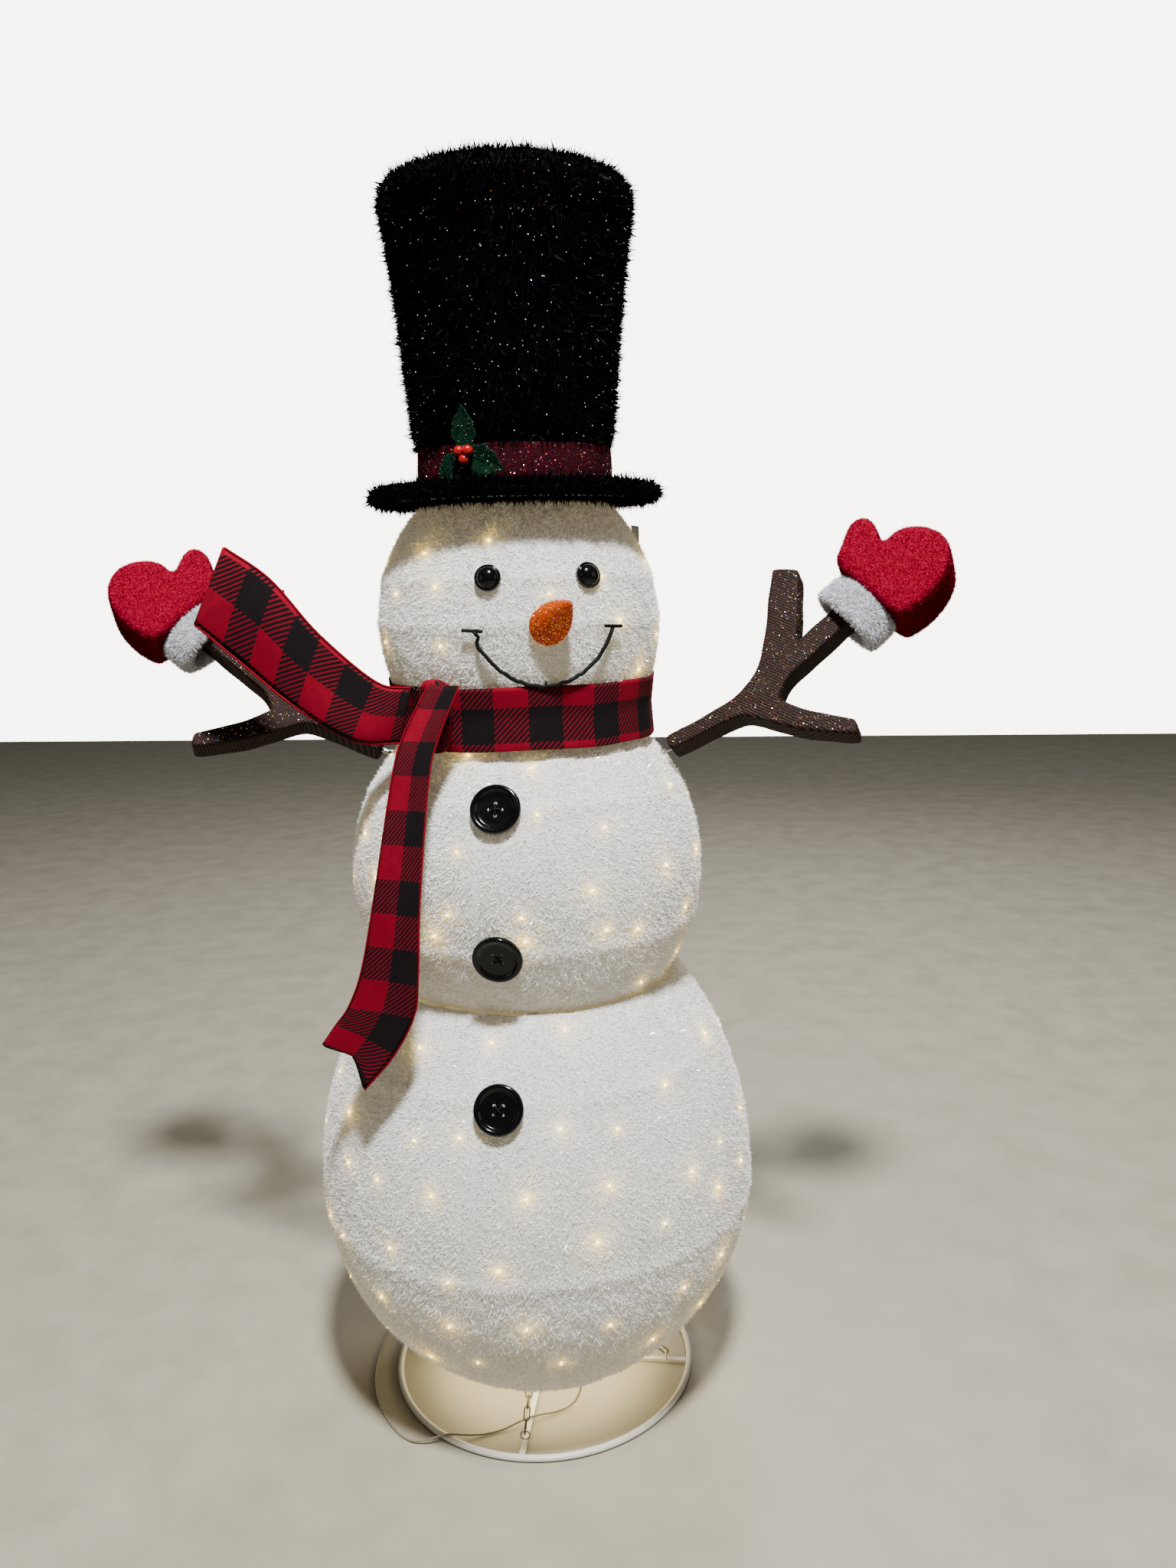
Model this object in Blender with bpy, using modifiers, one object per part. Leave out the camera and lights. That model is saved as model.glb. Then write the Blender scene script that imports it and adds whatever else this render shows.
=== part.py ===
"""Pop-up tinsel snowman: wire hoops and fabric skins on a telescoping pole, with hat, scarf and branch arms.

Frame: +Z up, -Y is the front of the body, +X the snowman's side on the viewer's right. The origin is the
middle of the base's underside. Lengths are metres. The whole body folds down: every hoop slides on the
pole towards the bottom hoop, by a share of the crown's travel.
"""
import math
from collections import namedtuple

import bmesh
import bpy
from mathutils import Matrix, Vector

COLLECTION = "PopUpSnowman"
CLEARANCE = 0.0003          # gap between pieces that touch
SEGMENTS = 32               # sides of every large round piece
SMALL_SEGMENTS = 16         # sides of tubes and small round pieces

# Balls of the body: outer surface of the fabric, an ellipse above and below the widest height.
Ball = namedtuple("Ball", "centre_z radius up down bottom top")
LOWER_BALL = Ball(0.360, 0.338, 0.437, 0.335, 0.0665, 0.6890)
MIDDLE_BALL = Ball(0.852, 0.264, 0.272, 0.275, 0.6910, 1.0540)
HEAD_BALL = Ball(1.218, 0.205, 0.228, 0.220, 1.1000, 1.3920)
NECK_SLEEVE_BOTTOM = 1.0600
SKIN_THICKNESS = 0.006
SKIN_STEPS = 9

# Base.
RING_RADIUS = 0.240
RING_TUBE = 0.0050
BAR_WIDTH = 0.009
BAR_HEIGHT = 0.006
EYE_DISTANCE = 0.202        # welded chain eyes, from the middle of the base
EYE_RADIUS = 0.0070
EYE_WIRE = 0.0015
LINK_OVERLAP = 0.0006       # how far neighbouring chain links are welded into each other

# Pole: three tubes that slide into each other.
POLE_LOWER = (0.0125, 0.0113, 0.0065, 0.520)     # outer radius, inner radius, bottom, top
POLE_MIDDLE = (0.0110, 0.0098, 0.478, 0.955)
POLE_UPPER = (0.0095, 0.0083, 0.915, 1.3740)
COLLAR_HEIGHT = 0.030

# Wire hoops, by the height at which each one lies under the fabric.
HOOP_WIRE = 0.0020
HOOP_SLACK = 0.0034         # how far the faceted skin stands inside its true curve, and a little more
HOOP_LIFT = -(SKIN_THICKNESS + HOOP_WIRE + HOOP_SLACK)
HOOP_HEIGHTS = {
    "hoop_lower_belly": 0.345,
    "hoop_lower_shoulder": 0.587,
    "hoop_waist": 0.672,
    "hoop_middle_belly": 0.788,
    "hoop_chest": 0.982,
    "hoop_neck": 1.045,
    "hoop_head_belly": 1.225,
    "hoop_head_upper": 1.287,
    "hoop_crown": 1.385,
}
BOTTOM_HOOP = (0.150, 0.062)    # radius and height; it hangs just below the hem
STRING_LIFT = -0.020        # light string, measured from the fabric's outer surface
STRING_RADIUS = 0.0012
STRING_POINTS_PER_TURN = 12

# Face, turned a little towards +X.
FACE_AZIMUTH = 18.0
EYE_SPREAD = 19.8
EYE_HEIGHT = 1.287
NOSE_HEIGHT = 1.223
NOSE_AZIMUTH = 20.0
NOSE_RADIUS = 0.0262
NOSE_LENGTH = 0.048
NOSE_LEAN = (0.019, 0.029)  # how far the tip lies towards +X and up
MOUTH_SPREAD = 26.5
MOUTH_CORNER_Z = 1.221
MOUTH_BOTTOM_Z = 1.146
MOUTH_RADIUS = 0.0021
MOUTH_ROUNDNESS = 0.93      # 1 is a half ellipse, less is flatter at the corners

# Buttons: radius, thickness and heights.
BUTTON_RADIUS = 0.0325
BUTTON_THICKNESS = 0.0075
BUTTON_HOLE = 0.0030
BUTTONS = {"button_upper": 0.982, "button_middle": 0.788, "button_lower": 0.587}

# Scarf.
BAND_PROFILE = [(0.1975, 1.141), (0.1925, 1.100), (0.1960, 1.056), (0.1935, 1.056), (0.1895, 1.100),
                (0.1950, 1.141)]
CLOTH = 0.003

# Arms, in their own flat plane: s runs along the plug rod, t up the branch, both from the trunk's end.
SHOULDER = Vector((0.222, 0.0, 1.029))
ARM_SLOPE = {1: 27.0, -1: 24.0}     # right and left: rise of the plug rod over the level,
ARM_SWEEP = {1: 0.0, -1: -3.0}      # how far it points backwards,
ARM_LEAN = {1: 35.0, -1: 38.0}      # and how far the branch leans back
ARM_DEPTH = 0.043
ARM_OUTLINE = [
    (0.000, 0.0115), (0.068, 0.0125), (0.116, 0.0165), (0.145, 0.0275), (0.167, 0.0445), (0.187, 0.0685),
    (0.216, 0.1205), (0.252, 0.1855), (0.287, 0.1605), (0.249, 0.0795), (0.232, 0.0505), (0.272, 0.0640),
    (0.342, 0.0840), (0.352, 0.0530), (0.305, 0.0390), (0.243, 0.0180), (0.202, 0.0080), (0.172, -0.0180),
    (0.206, -0.0590), (0.258, -0.1015), (0.250, -0.1255), (0.208, -0.0970), (0.171, -0.0700), (0.125, -0.0200),
    (0.104, -0.0125), (0.059, -0.0125), (0.000, -0.0125),
]
MITTEN_OUTLINE = [
    (0.3730, 0.0060), (0.3545, 0.0650), (0.3345, 0.1300), (0.3560, 0.1500), (0.3730, 0.1700), (0.3900, 0.1790),
    (0.4060, 0.1745), (0.4120, 0.1580), (0.4075, 0.1235), (0.4380, 0.1290), (0.4700, 0.1130), (0.4860, 0.0850),
    (0.4800, 0.0520), (0.4550, 0.0245), (0.4180, 0.0065), (0.3860, 0.0020),
]
MITTEN_EXTRUDE = 0.0350
MITTEN_ROUND = 0.0110
CUFF_CENTRE = (0.3300, 0.0590)
CUFF_TURN = 17.0
CUFF_HALF_LENGTH = 0.0220
ROD_RADIUS = 0.0035
SOCKET = (0.0055, 0.0040)   # outer and inner radius of the tube that takes the rod
SOCKET_REACH = (0.050, 0.012)   # how far its inner and outer ends lie from the trunk's end

# Hat.
CROWN_OUTER = [(0.0, 1.826), (0.120, 1.8255), (0.160, 1.820), (0.1735, 1.806), (0.1740, 1.790), (0.1660, 1.745),
               (0.1560, 1.665), (0.1480, 1.571), (0.1385, 1.4685), (0.1310, 1.4660), (0.1305, 1.4105)]
CROWN_WALL = 0.004
BRIM = (0.1300, 0.2070, 1.3945, 1.4095)          # inner radius, outer radius, bottom, top
BAND = (0.1315, 0.1360, 1.4100, 1.4650)          # inner radius, outer radius, bottom, top
HOLLY_AZIMUTH = -16.0
HOLLY_HEIGHT = 1.452
LEAF_THICKNESS = 0.0016

# Power cord, as the route of its centre line from the clip to the coil.
CORD_RADIUS = 0.0016
CORD_FLOOR = CORD_RADIUS + 0.0002
CORD_ROUTE = [
    (0.0760, -0.1140, 0.0500), (0.0758, -0.1142, 0.0420), (0.0735, -0.1160, 0.0270), (0.0660, -0.1210, 0.0120),
    (0.0520, -0.1290, 0.0045), (0.0340, -0.1390, 0.0035), (0.0150, -0.1510, 0.0075), (0.0000, -0.1600, 0.0088),
    (-0.0150, -0.1690, 0.0075), (-0.0380, -0.1820, 0.0030), (-0.0640, -0.1930, 0.0022),
    (-0.0900, -0.2020, 0.0060), (-0.1120, -0.2090, 0.0115), (-0.1300, -0.2160, 0.0122),
    (-0.1500, -0.2210, 0.0085), (-0.1720, -0.2180, 0.0035),
    (-0.1960, -0.2030, CORD_FLOOR), (-0.2210, -0.1770, CORD_FLOOR), (-0.2450, -0.1430, CORD_FLOOR),
    (-0.2640, -0.1020, CORD_FLOOR), (-0.2760, -0.0530, CORD_FLOOR), (-0.2800, 0.0000, CORD_FLOOR),
    (-0.2760, 0.0560, CORD_FLOOR), (-0.2640, 0.1090, CORD_FLOOR), (-0.2440, 0.1590, CORD_FLOOR),
    (-0.2150, 0.2050, CORD_FLOOR), (-0.1800, 0.2440, CORD_FLOOR), (-0.1420, 0.2760, CORD_FLOOR),
    (-0.1050, 0.2995, CORD_FLOOR),
]
COIL_CENTRE = Vector((-0.0800, 0.3300, 0.0))
COIL_OUTER = 0.0245
COIL_INNER = 0.0125
COIL_HEIGHT = 0.0120
PLUG_SIZE = Vector((0.038, 0.052, 0.030))
PLUG_CENTRE = Vector((-0.0100, 0.3350, 0.0163))

# Colour, metallic and roughness of each material.
PALETTE = {
    "tinsel_white": ((0.86, 0.86, 0.83), 0.0, 0.75),
    "tinsel_black": ((0.012, 0.012, 0.014), 0.0, 0.80),
    "glitter_red": ((0.30, 0.01, 0.03), 0.3, 0.45),
    "plaid": ((0.38, 0.01, 0.03), 0.0, 0.85),
    "mitten_red": ((0.55, 0.0, 0.03), 0.0, 0.90),
    "cuff_white": ((0.72, 0.72, 0.74), 0.0, 0.90),
    "bark_mesh": ((0.07, 0.045, 0.035), 0.1, 0.65),
    "gloss_black": ((0.01, 0.01, 0.01), 0.0, 0.15),
    "carrot": ((0.75, 0.20, 0.01), 0.1, 0.45),
    "holly_green": ((0.0, 0.07, 0.02), 0.1, 0.50),
    "berry_red": ((0.55, 0.01, 0.02), 0.0, 0.20),
    "frame_white": ((0.80, 0.80, 0.76), 0.0, 0.40),
    "steel": ((0.55, 0.55, 0.53), 1.0, 0.30),
    "cord_clear": ((0.70, 0.68, 0.58), 0.0, 0.35),
}

collection = None
cutters = None


# ---------------------------------------------------------------- helpers

def start_scene():
    """Remove what is there and make the two collections."""
    global collection, cutters
    for thing in list(bpy.data.objects):
        bpy.data.objects.remove(thing, do_unlink=True)
    collection = bpy.data.collections.new(COLLECTION)
    cutters = bpy.data.collections.new("Cutters")
    bpy.context.scene.collection.children.link(collection)
    bpy.context.scene.collection.children.link(cutters)


def material(name):
    """The Principled material of that name, made on first use."""
    found = bpy.data.materials.get(name)
    if found:
        return found
    colour, metallic, roughness = PALETTE[name]
    made = bpy.data.materials.new(name)
    made.use_nodes = True
    shader = made.node_tree.nodes["Principled BSDF"]
    shader.inputs["Base Color"].default_value = (*colour, 1.0)
    shader.inputs["Metallic"].default_value = metallic
    shader.inputs["Roughness"].default_value = roughness
    made.diffuse_color = (*colour, 1.0)
    return made


def add_object(name, mesh, slot, matrix=None, smooth=True):
    """Put a mesh in the model under a name."""
    made = bpy.data.objects.new(name, mesh)
    collection.objects.link(made)
    mesh.materials.append(material(slot))
    if matrix is not None:
        made.matrix_world = matrix
    if smooth and len(mesh.polygons):
        mesh.shade_smooth()
        mesh.set_sharp_from_angle(angle=math.radians(40))
    return made


def turned(name, profile, slot, matrix=None, segments=SEGMENTS, closed=True):
    """A turned solid: (radius, height) points that run down the outside, then up the inside."""
    mesh = bpy.data.meshes.new(name)
    edges = [(i, i + 1) for i in range(len(profile) - 1)]
    if closed:
        edges.append((len(profile) - 1, 0))
    mesh.from_pydata([(r, 0.0, z) for r, z in profile], edges, [])
    made = add_object(name, mesh, slot, matrix)
    screw = made.modifiers.new("Turn", "SCREW")
    screw.angle = math.tau
    screw.steps = segments
    screw.render_steps = segments
    screw.use_merge_vertices = True
    screw.merge_threshold = 0.00001
    screw.use_smooth_shade = True
    return made


def tube_ring(outer, inner, bottom, top):
    """Closed profile of a plain tube."""
    return [(outer, top), (outer, bottom), (inner, bottom), (inner, top)]


def torus(name, radius, wire, slot, matrix=None, segments=SEGMENTS, sides=5):
    """A wire ring around the local Z axis."""
    bpy.ops.mesh.primitive_torus_add(major_segments=segments, minor_segments=sides, major_radius=radius,
                                     minor_radius=wire)
    return adopt(name, slot, matrix)


def box(name, size, slot, matrix=None, smooth=False):
    """A box centred on its own origin."""
    bpy.ops.mesh.primitive_cube_add(size=1.0)
    bpy.context.object.data.transform(Matrix.Diagonal((*size, 1.0)))
    return adopt(name, slot, matrix, smooth)


def cylinder(name, radius, depth, slot, matrix=None, segments=SMALL_SEGMENTS):
    """A cylinder centred on its own origin, along local Z."""
    bpy.ops.mesh.primitive_cylinder_add(vertices=segments, radius=radius, depth=depth)
    return adopt(name, slot, matrix)


def sphere(name, radius, slot, matrix=None, segments=10, rings=6):
    """A ball centred on its own origin."""
    bpy.ops.mesh.primitive_uv_sphere_add(segments=segments, ring_count=rings, radius=radius)
    return adopt(name, slot, matrix)


def adopt(name, slot, matrix, smooth=True):
    """Move the primitive just added into the model."""
    made = bpy.context.object
    for owner in list(made.users_collection):
        owner.objects.unlink(made)
    collection.objects.link(made)
    made.name = name
    made.data.name = name
    made.data.materials.append(material(slot))
    if matrix is not None:
        made.matrix_world = matrix
    if smooth:
        made.data.shade_smooth()
        made.data.set_sharp_from_angle(angle=math.radians(40))
    return made


def as_cutter(piece):
    """Hide a piece that only cuts or joins another."""
    collection.objects.unlink(piece)
    cutters.objects.link(piece)
    piece.hide_render = True
    piece.display_type = "WIRE"
    return piece


def combine(target, piece, operation="UNION"):
    """Weld a piece onto the target, or cut it out of it."""
    as_cutter(piece)
    step = target.modifiers.new(operation.title(), "BOOLEAN")
    step.operation = operation
    step.solver = "EXACT"
    step.object = piece
    return target


def smooth_path(points, per_span):
    """Catmull-Rom curve through the points."""
    points = [Vector(p) for p in points]
    ends = [points[0] * 2 - points[1]] + points + [points[-1] * 2 - points[-2]]
    path = []
    for i in range(1, len(ends) - 2):
        a, b, c, d = ends[i - 1:i + 3]
        for k in range(per_span):
            t = k / per_span
            path.append(0.5 * ((2 * b) + (c - a) * t + (2 * a - 5 * b + 4 * c - d) * t * t
                               + (3 * b - a - 3 * c + d) * t * t * t))
    path.append(points[-1])
    return path


def wire(name, points, radius, slot, cyclic=False, resolution=2):
    """A wire or cord along the points, with filled ends."""
    curve = bpy.data.curves.new(name, "CURVE")
    curve.dimensions = "3D"
    curve.bevel_depth = radius
    curve.bevel_resolution = resolution
    curve.use_fill_caps = not cyclic
    spline = curve.splines.new("POLY")
    spline.points.add(len(points) - 1)
    for point, place in zip(spline.points, points):
        point.co = (*place, 1.0)
    spline.use_cyclic_u = cyclic
    made = bpy.data.objects.new(name, curve)
    collection.objects.link(made)
    curve.materials.append(material(slot))
    return made


def as_mesh(piece, matrix=None, mirror=None, name=None):
    """A mesh copy of a piece as it stands, welded; a copy through a mirroring matrix keeps the first piece."""
    bpy.context.view_layer.update()
    graph = bpy.context.evaluated_depsgraph_get()
    mesh = bpy.data.meshes.new_from_object(piece.evaluated_get(graph))
    slot = mesh.materials[0].name
    mesh.materials.clear()
    work = bmesh.new()
    work.from_mesh(mesh)
    bmesh.ops.remove_doubles(work, verts=work.verts, dist=0.00001)
    if matrix is not None:
        bmesh.ops.transform(work, matrix=matrix, verts=work.verts)
    if mirror is not None:
        bmesh.ops.transform(work, matrix=mirror @ piece.matrix_world, verts=work.verts)
        bmesh.ops.reverse_faces(work, faces=work.faces)
    work.to_mesh(mesh)
    work.free()
    place = piece.matrix_world.copy() if mirror is None else Matrix.Identity(4)
    title = name or piece.name
    if mirror is None:
        bpy.data.objects.remove(piece, do_unlink=True)
    mesh.name = title
    return add_object(title, mesh, slot, place)


def outline_plate(name, points, half_thickness, slot, rounding=0.0):
    """A flat piece cut to an outline in the local XY plane."""
    curve = bpy.data.curves.new(name, "CURVE")
    curve.dimensions = "2D"
    curve.fill_mode = "BOTH"
    curve.extrude = half_thickness
    curve.bevel_depth = rounding
    curve.bevel_resolution = 1
    curve.offset = -rounding
    spline = curve.splines.new("POLY")
    spline.points.add(len(points) - 1)
    for point, (x, y) in zip(spline.points, points):
        point.co = (x, y, 0.0, 1.0)
    spline.use_cyclic_u = True
    made = bpy.data.objects.new(name, curve)
    collection.objects.link(made)
    curve.materials.append(material(slot))
    return made


def ribbon(name, left, right, slot, per_span=2, across=3):
    """A strip of cloth between two edge lines, each smoothed, with a real thickness."""
    left, right = smooth_path(left, per_span), smooth_path(right, per_span)
    points = [a.lerp(b, k / across) for a, b in zip(left, right) for k in range(across + 1)]
    row = across + 1
    faces = [(i * row + k, i * row + k + 1, (i + 1) * row + k + 1, (i + 1) * row + k)
             for i in range(len(left) - 1) for k in range(across)]
    mesh = bpy.data.meshes.new(name)
    mesh.from_pydata(points, [], faces)
    made = add_object(name, mesh, slot)
    skin = made.modifiers.new("Cloth", "SOLIDIFY")
    skin.thickness = CLOTH
    skin.offset = 0.0
    return made


def body_frame(name, place):
    """An empty on a joint's axis, which carries the pieces of a moving body."""
    made = bpy.data.objects.new(name, None)
    made.location = place
    made.empty_display_size = 0.03
    collection.objects.link(made)
    return made


def carry(parent, *pieces):
    """Parent pieces to an empty without moving them."""
    for piece in pieces:
        piece.parent = parent
        piece.matrix_parent_inverse = Matrix.Translation(-parent.location)


# ---------------------------------------------------------------- body surface

def ball_at(z):
    """The ball whose fabric covers a height."""
    if z <= LOWER_BALL.top:
        return LOWER_BALL
    return MIDDLE_BALL if z <= MIDDLE_BALL.top else HEAD_BALL


def ball_radius(ball, z):
    """Outer radius of a ball's fabric at a height."""
    rise = z - ball.centre_z
    half = ball.up if rise >= 0 else ball.down
    return ball.radius * math.sqrt(max(0.0, 1.0 - (rise / half) ** 2))


def ball_normal(ball, z):
    """Outward normal of a ball's profile, as (radial, up)."""
    rise = z - ball.centre_z
    half = ball.up if rise >= 0 else ball.down
    return Vector((ball_radius(ball, z) / ball.radius ** 2, rise / half ** 2)).normalized()


def around(azimuth):
    """Unit vector that points outwards at an azimuth in degrees, 0 at the front, 90 at +X."""
    angle = math.radians(azimuth)
    return Vector((math.sin(angle), -math.cos(angle), 0.0))


def surface_point(azimuth, z, lift=0.0):
    """A point above or below the fabric."""
    ball = ball_at(z)
    normal = ball_normal(ball, z)
    radial = around(azimuth)
    flat = radial * (ball_radius(ball, z) + normal[0] * lift)
    return flat + Vector((0.0, 0.0, z + normal[1] * lift))


def surface_matrix(azimuth, z, lift=0.0):
    """Frame on the fabric: local Z outwards, local X to the right, local Y up."""
    normal = ball_normal(ball_at(z), z)
    outward = around(azimuth) * normal[0] + Vector((0.0, 0.0, normal[1]))
    right = around(azimuth + 90.0)
    up = outward.cross(right)
    turn = Matrix((right, up, outward)).transposed().to_4x4()
    return Matrix.Translation(surface_point(azimuth, z, lift)) @ turn


def ball_profile(ball, sleeve=None):
    """Closed profile of a fabric skin: outer side from the top, inner side back up."""
    top = math.asin((ball.top - ball.centre_z) / ball.up)
    bottom = math.asin((ball.bottom - ball.centre_z) / ball.down)
    heights = []
    for k in range(SKIN_STEPS + 1):
        angle = top + (bottom - top) * k / SKIN_STEPS
        heights.append(ball.centre_z + math.sin(angle) * (ball.up if angle >= 0 else ball.down))
    outer = [(ball_radius(ball, z), z) for z in heights]
    inner = []
    for (r, z) in outer:
        normal = ball_normal(ball, z)
        inner.append((r - normal[0] * SKIN_THICKNESS, z - normal[1] * SKIN_THICKNESS))
    if sleeve is not None:
        outer.append((outer[-1][0], sleeve))
        inner.append((outer[-1][0] - SKIN_THICKNESS, sleeve))
    return outer + inner[::-1]


def helix(ball, turns, low, high):
    """Points of a light string wound inside a ball."""
    count = int(turns * STRING_POINTS_PER_TURN)
    points = []
    for k in range(count + 1):
        z = low + (high - low) * k / count
        normal = ball_normal(ball, z)
        radius = ball_radius(ball, z) + normal[0] * STRING_LIFT
        points.append(around(360.0 * k / STRING_POINTS_PER_TURN) * radius
                      + Vector((0.0, 0.0, z + normal[1] * STRING_LIFT)))
    return points


# ---------------------------------------------------------------- base and pole

def make_base():
    """Ring, crossed bars with four welded eyes, and the socket for the pole."""
    torus("base_ring", RING_RADIUS, RING_TUBE, "frame_white",
          Matrix.Translation((0, 0, RING_TUBE)), segments=48, sides=8)
    reach = RING_RADIUS - RING_TUBE - CLEARANCE
    bars = box("base_spokes", (2 * reach, BAR_WIDTH, BAR_HEIGHT), "frame_white",
               Matrix.Translation((0, 0, BAR_HEIGHT / 2)))
    combine(bars, box("cross_bar", (BAR_WIDTH, 2 * reach, BAR_HEIGHT), "frame_white",
                      Matrix.Translation((0, 0, BAR_HEIGHT / 2))))
    for quarter in range(4):
        place = around(90.0 * quarter) * EYE_DISTANCE
        place.z = BAR_HEIGHT + EYE_RADIUS - 0.0005
        stand = Matrix.Rotation(math.radians(90.0 * quarter), 4, "Z") @ Matrix.Rotation(math.pi / 2, 4, "X")
        combine(bars, torus(f"eye_{quarter}", EYE_RADIUS, EYE_WIRE, "frame_white",
                            Matrix.Translation(place) @ stand, segments=10))
    foot = BAR_HEIGHT + CLEARANCE
    inner = POLE_LOWER[0] + 0.0005
    profile = [(0.0155, 0.072), (0.0155, foot + 0.003), (0.028, foot + 0.003), (0.028, foot), (inner, foot),
               (inner, 0.072)]
    socket = turned("pole_socket", profile, "frame_white", segments=SMALL_SEGMENTS)
    side = Matrix.Rotation(math.radians(45), 4, "Z") @ Matrix.Rotation(math.pi / 2, 4, "Y")
    for step, (radius, depth, reach) in enumerate(((0.0030, 0.014, 0.0215), (0.0090, 0.006, 0.0310))):
        shift = Matrix.Translation((0, 0, 0.052)) @ side @ Matrix.Translation((0, 0, reach))
        combine(socket, cylinder(f"screw_{step}", radius, depth, "frame_white", shift, segments=10))


def collared(tube, collar_radius):
    """Profile of a pole tube with a clamp collar at its top."""
    outer, inner, bottom, top = tube
    return [(collar_radius, top), (collar_radius, top - COLLAR_HEIGHT), (outer, top - COLLAR_HEIGHT),
            (outer, bottom), (inner, bottom), (inner, top)]


def make_pole(crown_body, middle_body):
    """Three tubes, the crown's hub with its four struts, and the crown hoop."""
    turned("pole_lower", collared(POLE_LOWER, 0.0155), "steel", segments=SMALL_SEGMENTS)
    middle = turned("pole_middle", collared(POLE_MIDDLE, 0.0135), "steel", segments=SMALL_SEGMENTS)
    upper = turned("pole_upper", tube_ring(*POLE_UPPER), "steel", segments=SMALL_SEGMENTS)
    crown = surface_point(0.0, HOOP_HEIGHTS["hoop_crown"], HOOP_LIFT)
    radius, height = -crown.y, crown.z
    hub_bottom = POLE_UPPER[3] + CLEARANCE
    hub = turned("crown_spider", [(0.0, hub_bottom + 0.009), (0.016, hub_bottom + 0.009), (0.016, hub_bottom),
                                  (0.0, hub_bottom)], "steel", segments=SMALL_SEGMENTS, closed=False)
    span = 2 * (radius - HOOP_WIRE - CLEARANCE - 0.0012)
    for turn in (0.0, 90.0):
        strut = box(f"strut_{int(turn)}", (span, 0.006, 0.003), "steel",
                    Matrix.Translation((0, 0, height)) @ Matrix.Rotation(math.radians(turn), 4, "Z"))
        combine(hub, strut)
    carry(crown_body, upper, hub)
    carry(middle_body, middle)


def hoop(name, radius, height):
    """A level wire hoop around the pole."""
    return torus(name, radius, HOOP_WIRE, "frame_white", Matrix.Translation((0, 0, height)))


def make_hoops():
    """The fixed bottom hoop, and one empty and one hoop for each moving height; returns the empties."""
    hoop("hoop_bottom", *BOTTOM_HOOP)
    bodies = {}
    for name, height in HOOP_HEIGHTS.items():
        place = surface_point(0.0, height, HOOP_LIFT)
        ring = hoop(name, -place.y, place.z)
        bodies[name] = body_frame(name + "_axis", (0.0, 0.0, place.z))
        carry(bodies[name], ring)
    return bodies


def link_points(start, end, width, across):
    """An oval link between two places, as a closed run of points."""
    along = (end - start).normalized()
    middle = (start + end) / 2
    straight = (end - start).length / 2 - width
    points = []
    for side in (1, -1):
        for k in range(5):
            angle = math.radians(-90 + 45 * k)
            out = straight + width * math.cos(angle)
            points.append(middle + (along * out + across * (width * math.sin(angle))) * side)
    return points


def make_chains():
    """Four short chains, welded link to link, from the bottom hoop to the eyes on the bars."""
    eye_top = BAR_HEIGHT + 2 * EYE_RADIUS - 0.0005
    for quarter, name in enumerate(("front", "right", "rear", "left")):
        outward = around(90.0 * quarter)
        sideways = around(90.0 * quarter + 90.0)
        top = outward * BOTTOM_HOOP[0] + Vector((0, 0, BOTTOM_HOOP[1]))
        bottom = outward * EYE_DISTANCE + Vector((0, 0, eye_top))
        along = (bottom - top).normalized()
        across = along.cross(sideways)
        start = top - along * 0.0052
        end = bottom + along * 0.0052
        step = (end - start) / 3
        chain = None
        for k in range(3):
            a = start + step * k - along * (LINK_OVERLAP * (k > 0))
            b = start + step * (k + 1) + along * (LINK_OVERLAP * (k < 2))
            link = as_mesh(wire(f"chain_{name}" if k == 0 else f"link_{name}_{k}",
                                link_points(a, b, 0.0048, sideways if k == 1 else across), 0.0011, "steel",
                                cyclic=True, resolution=0))
            chain = link if k == 0 else combine(chain, link)


# ---------------------------------------------------------------- fabric body and face

def make_skins():
    """Three fabric skins, with a hole at each shoulder for the arm sockets."""
    turned("skin_lower", ball_profile(LOWER_BALL), "tinsel_white")
    middle = turned("skin_middle", ball_profile(MIDDLE_BALL), "tinsel_white")
    turned("skin_head", ball_profile(HEAD_BALL, NECK_SLEEVE_BOTTOM), "tinsel_white")
    for side in (1, -1):
        hole = cylinder(f"shoulder_hole_{side}", SOCKET[0] + 0.0015, 0.08, "tinsel_white",
                        stub_matrix(side) @ Matrix.Translation((0, 0, -0.012)), segments=12)
        combine(middle, hole, "DIFFERENCE")


def make_light_strings():
    """The wires of the lights, wound inside each ball."""
    wire("light_string_lower", helix(LOWER_BALL, 3.5, 0.12, 0.61), STRING_RADIUS, "cord_clear", resolution=1)
    wire("light_string_middle", helix(MIDDLE_BALL, 2.5, 0.74, 0.95), STRING_RADIUS, "cord_clear", resolution=1)
    wire("light_string_head", helix(HEAD_BALL, 1.5, 1.16, 1.26), STRING_RADIUS, "cord_clear", resolution=1)


def make_eyes(body):
    """Two domed eyes with flat rims."""
    profile = [(0.0, 0.0115), (0.0062, 0.0105), (0.0108, 0.0072), (0.0128, 0.0034), (0.0158, 0.0026),
               (0.0158, 0.0), (0.0, 0.0)]
    for name, side in (("eye_left", -1), ("eye_right", 1)):
        matrix = surface_matrix(FACE_AZIMUTH + side * EYE_SPREAD, EYE_HEIGHT, 0.0008)
        carry(body, turned(name, profile, "gloss_black", matrix, SMALL_SEGMENTS, closed=False))


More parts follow.
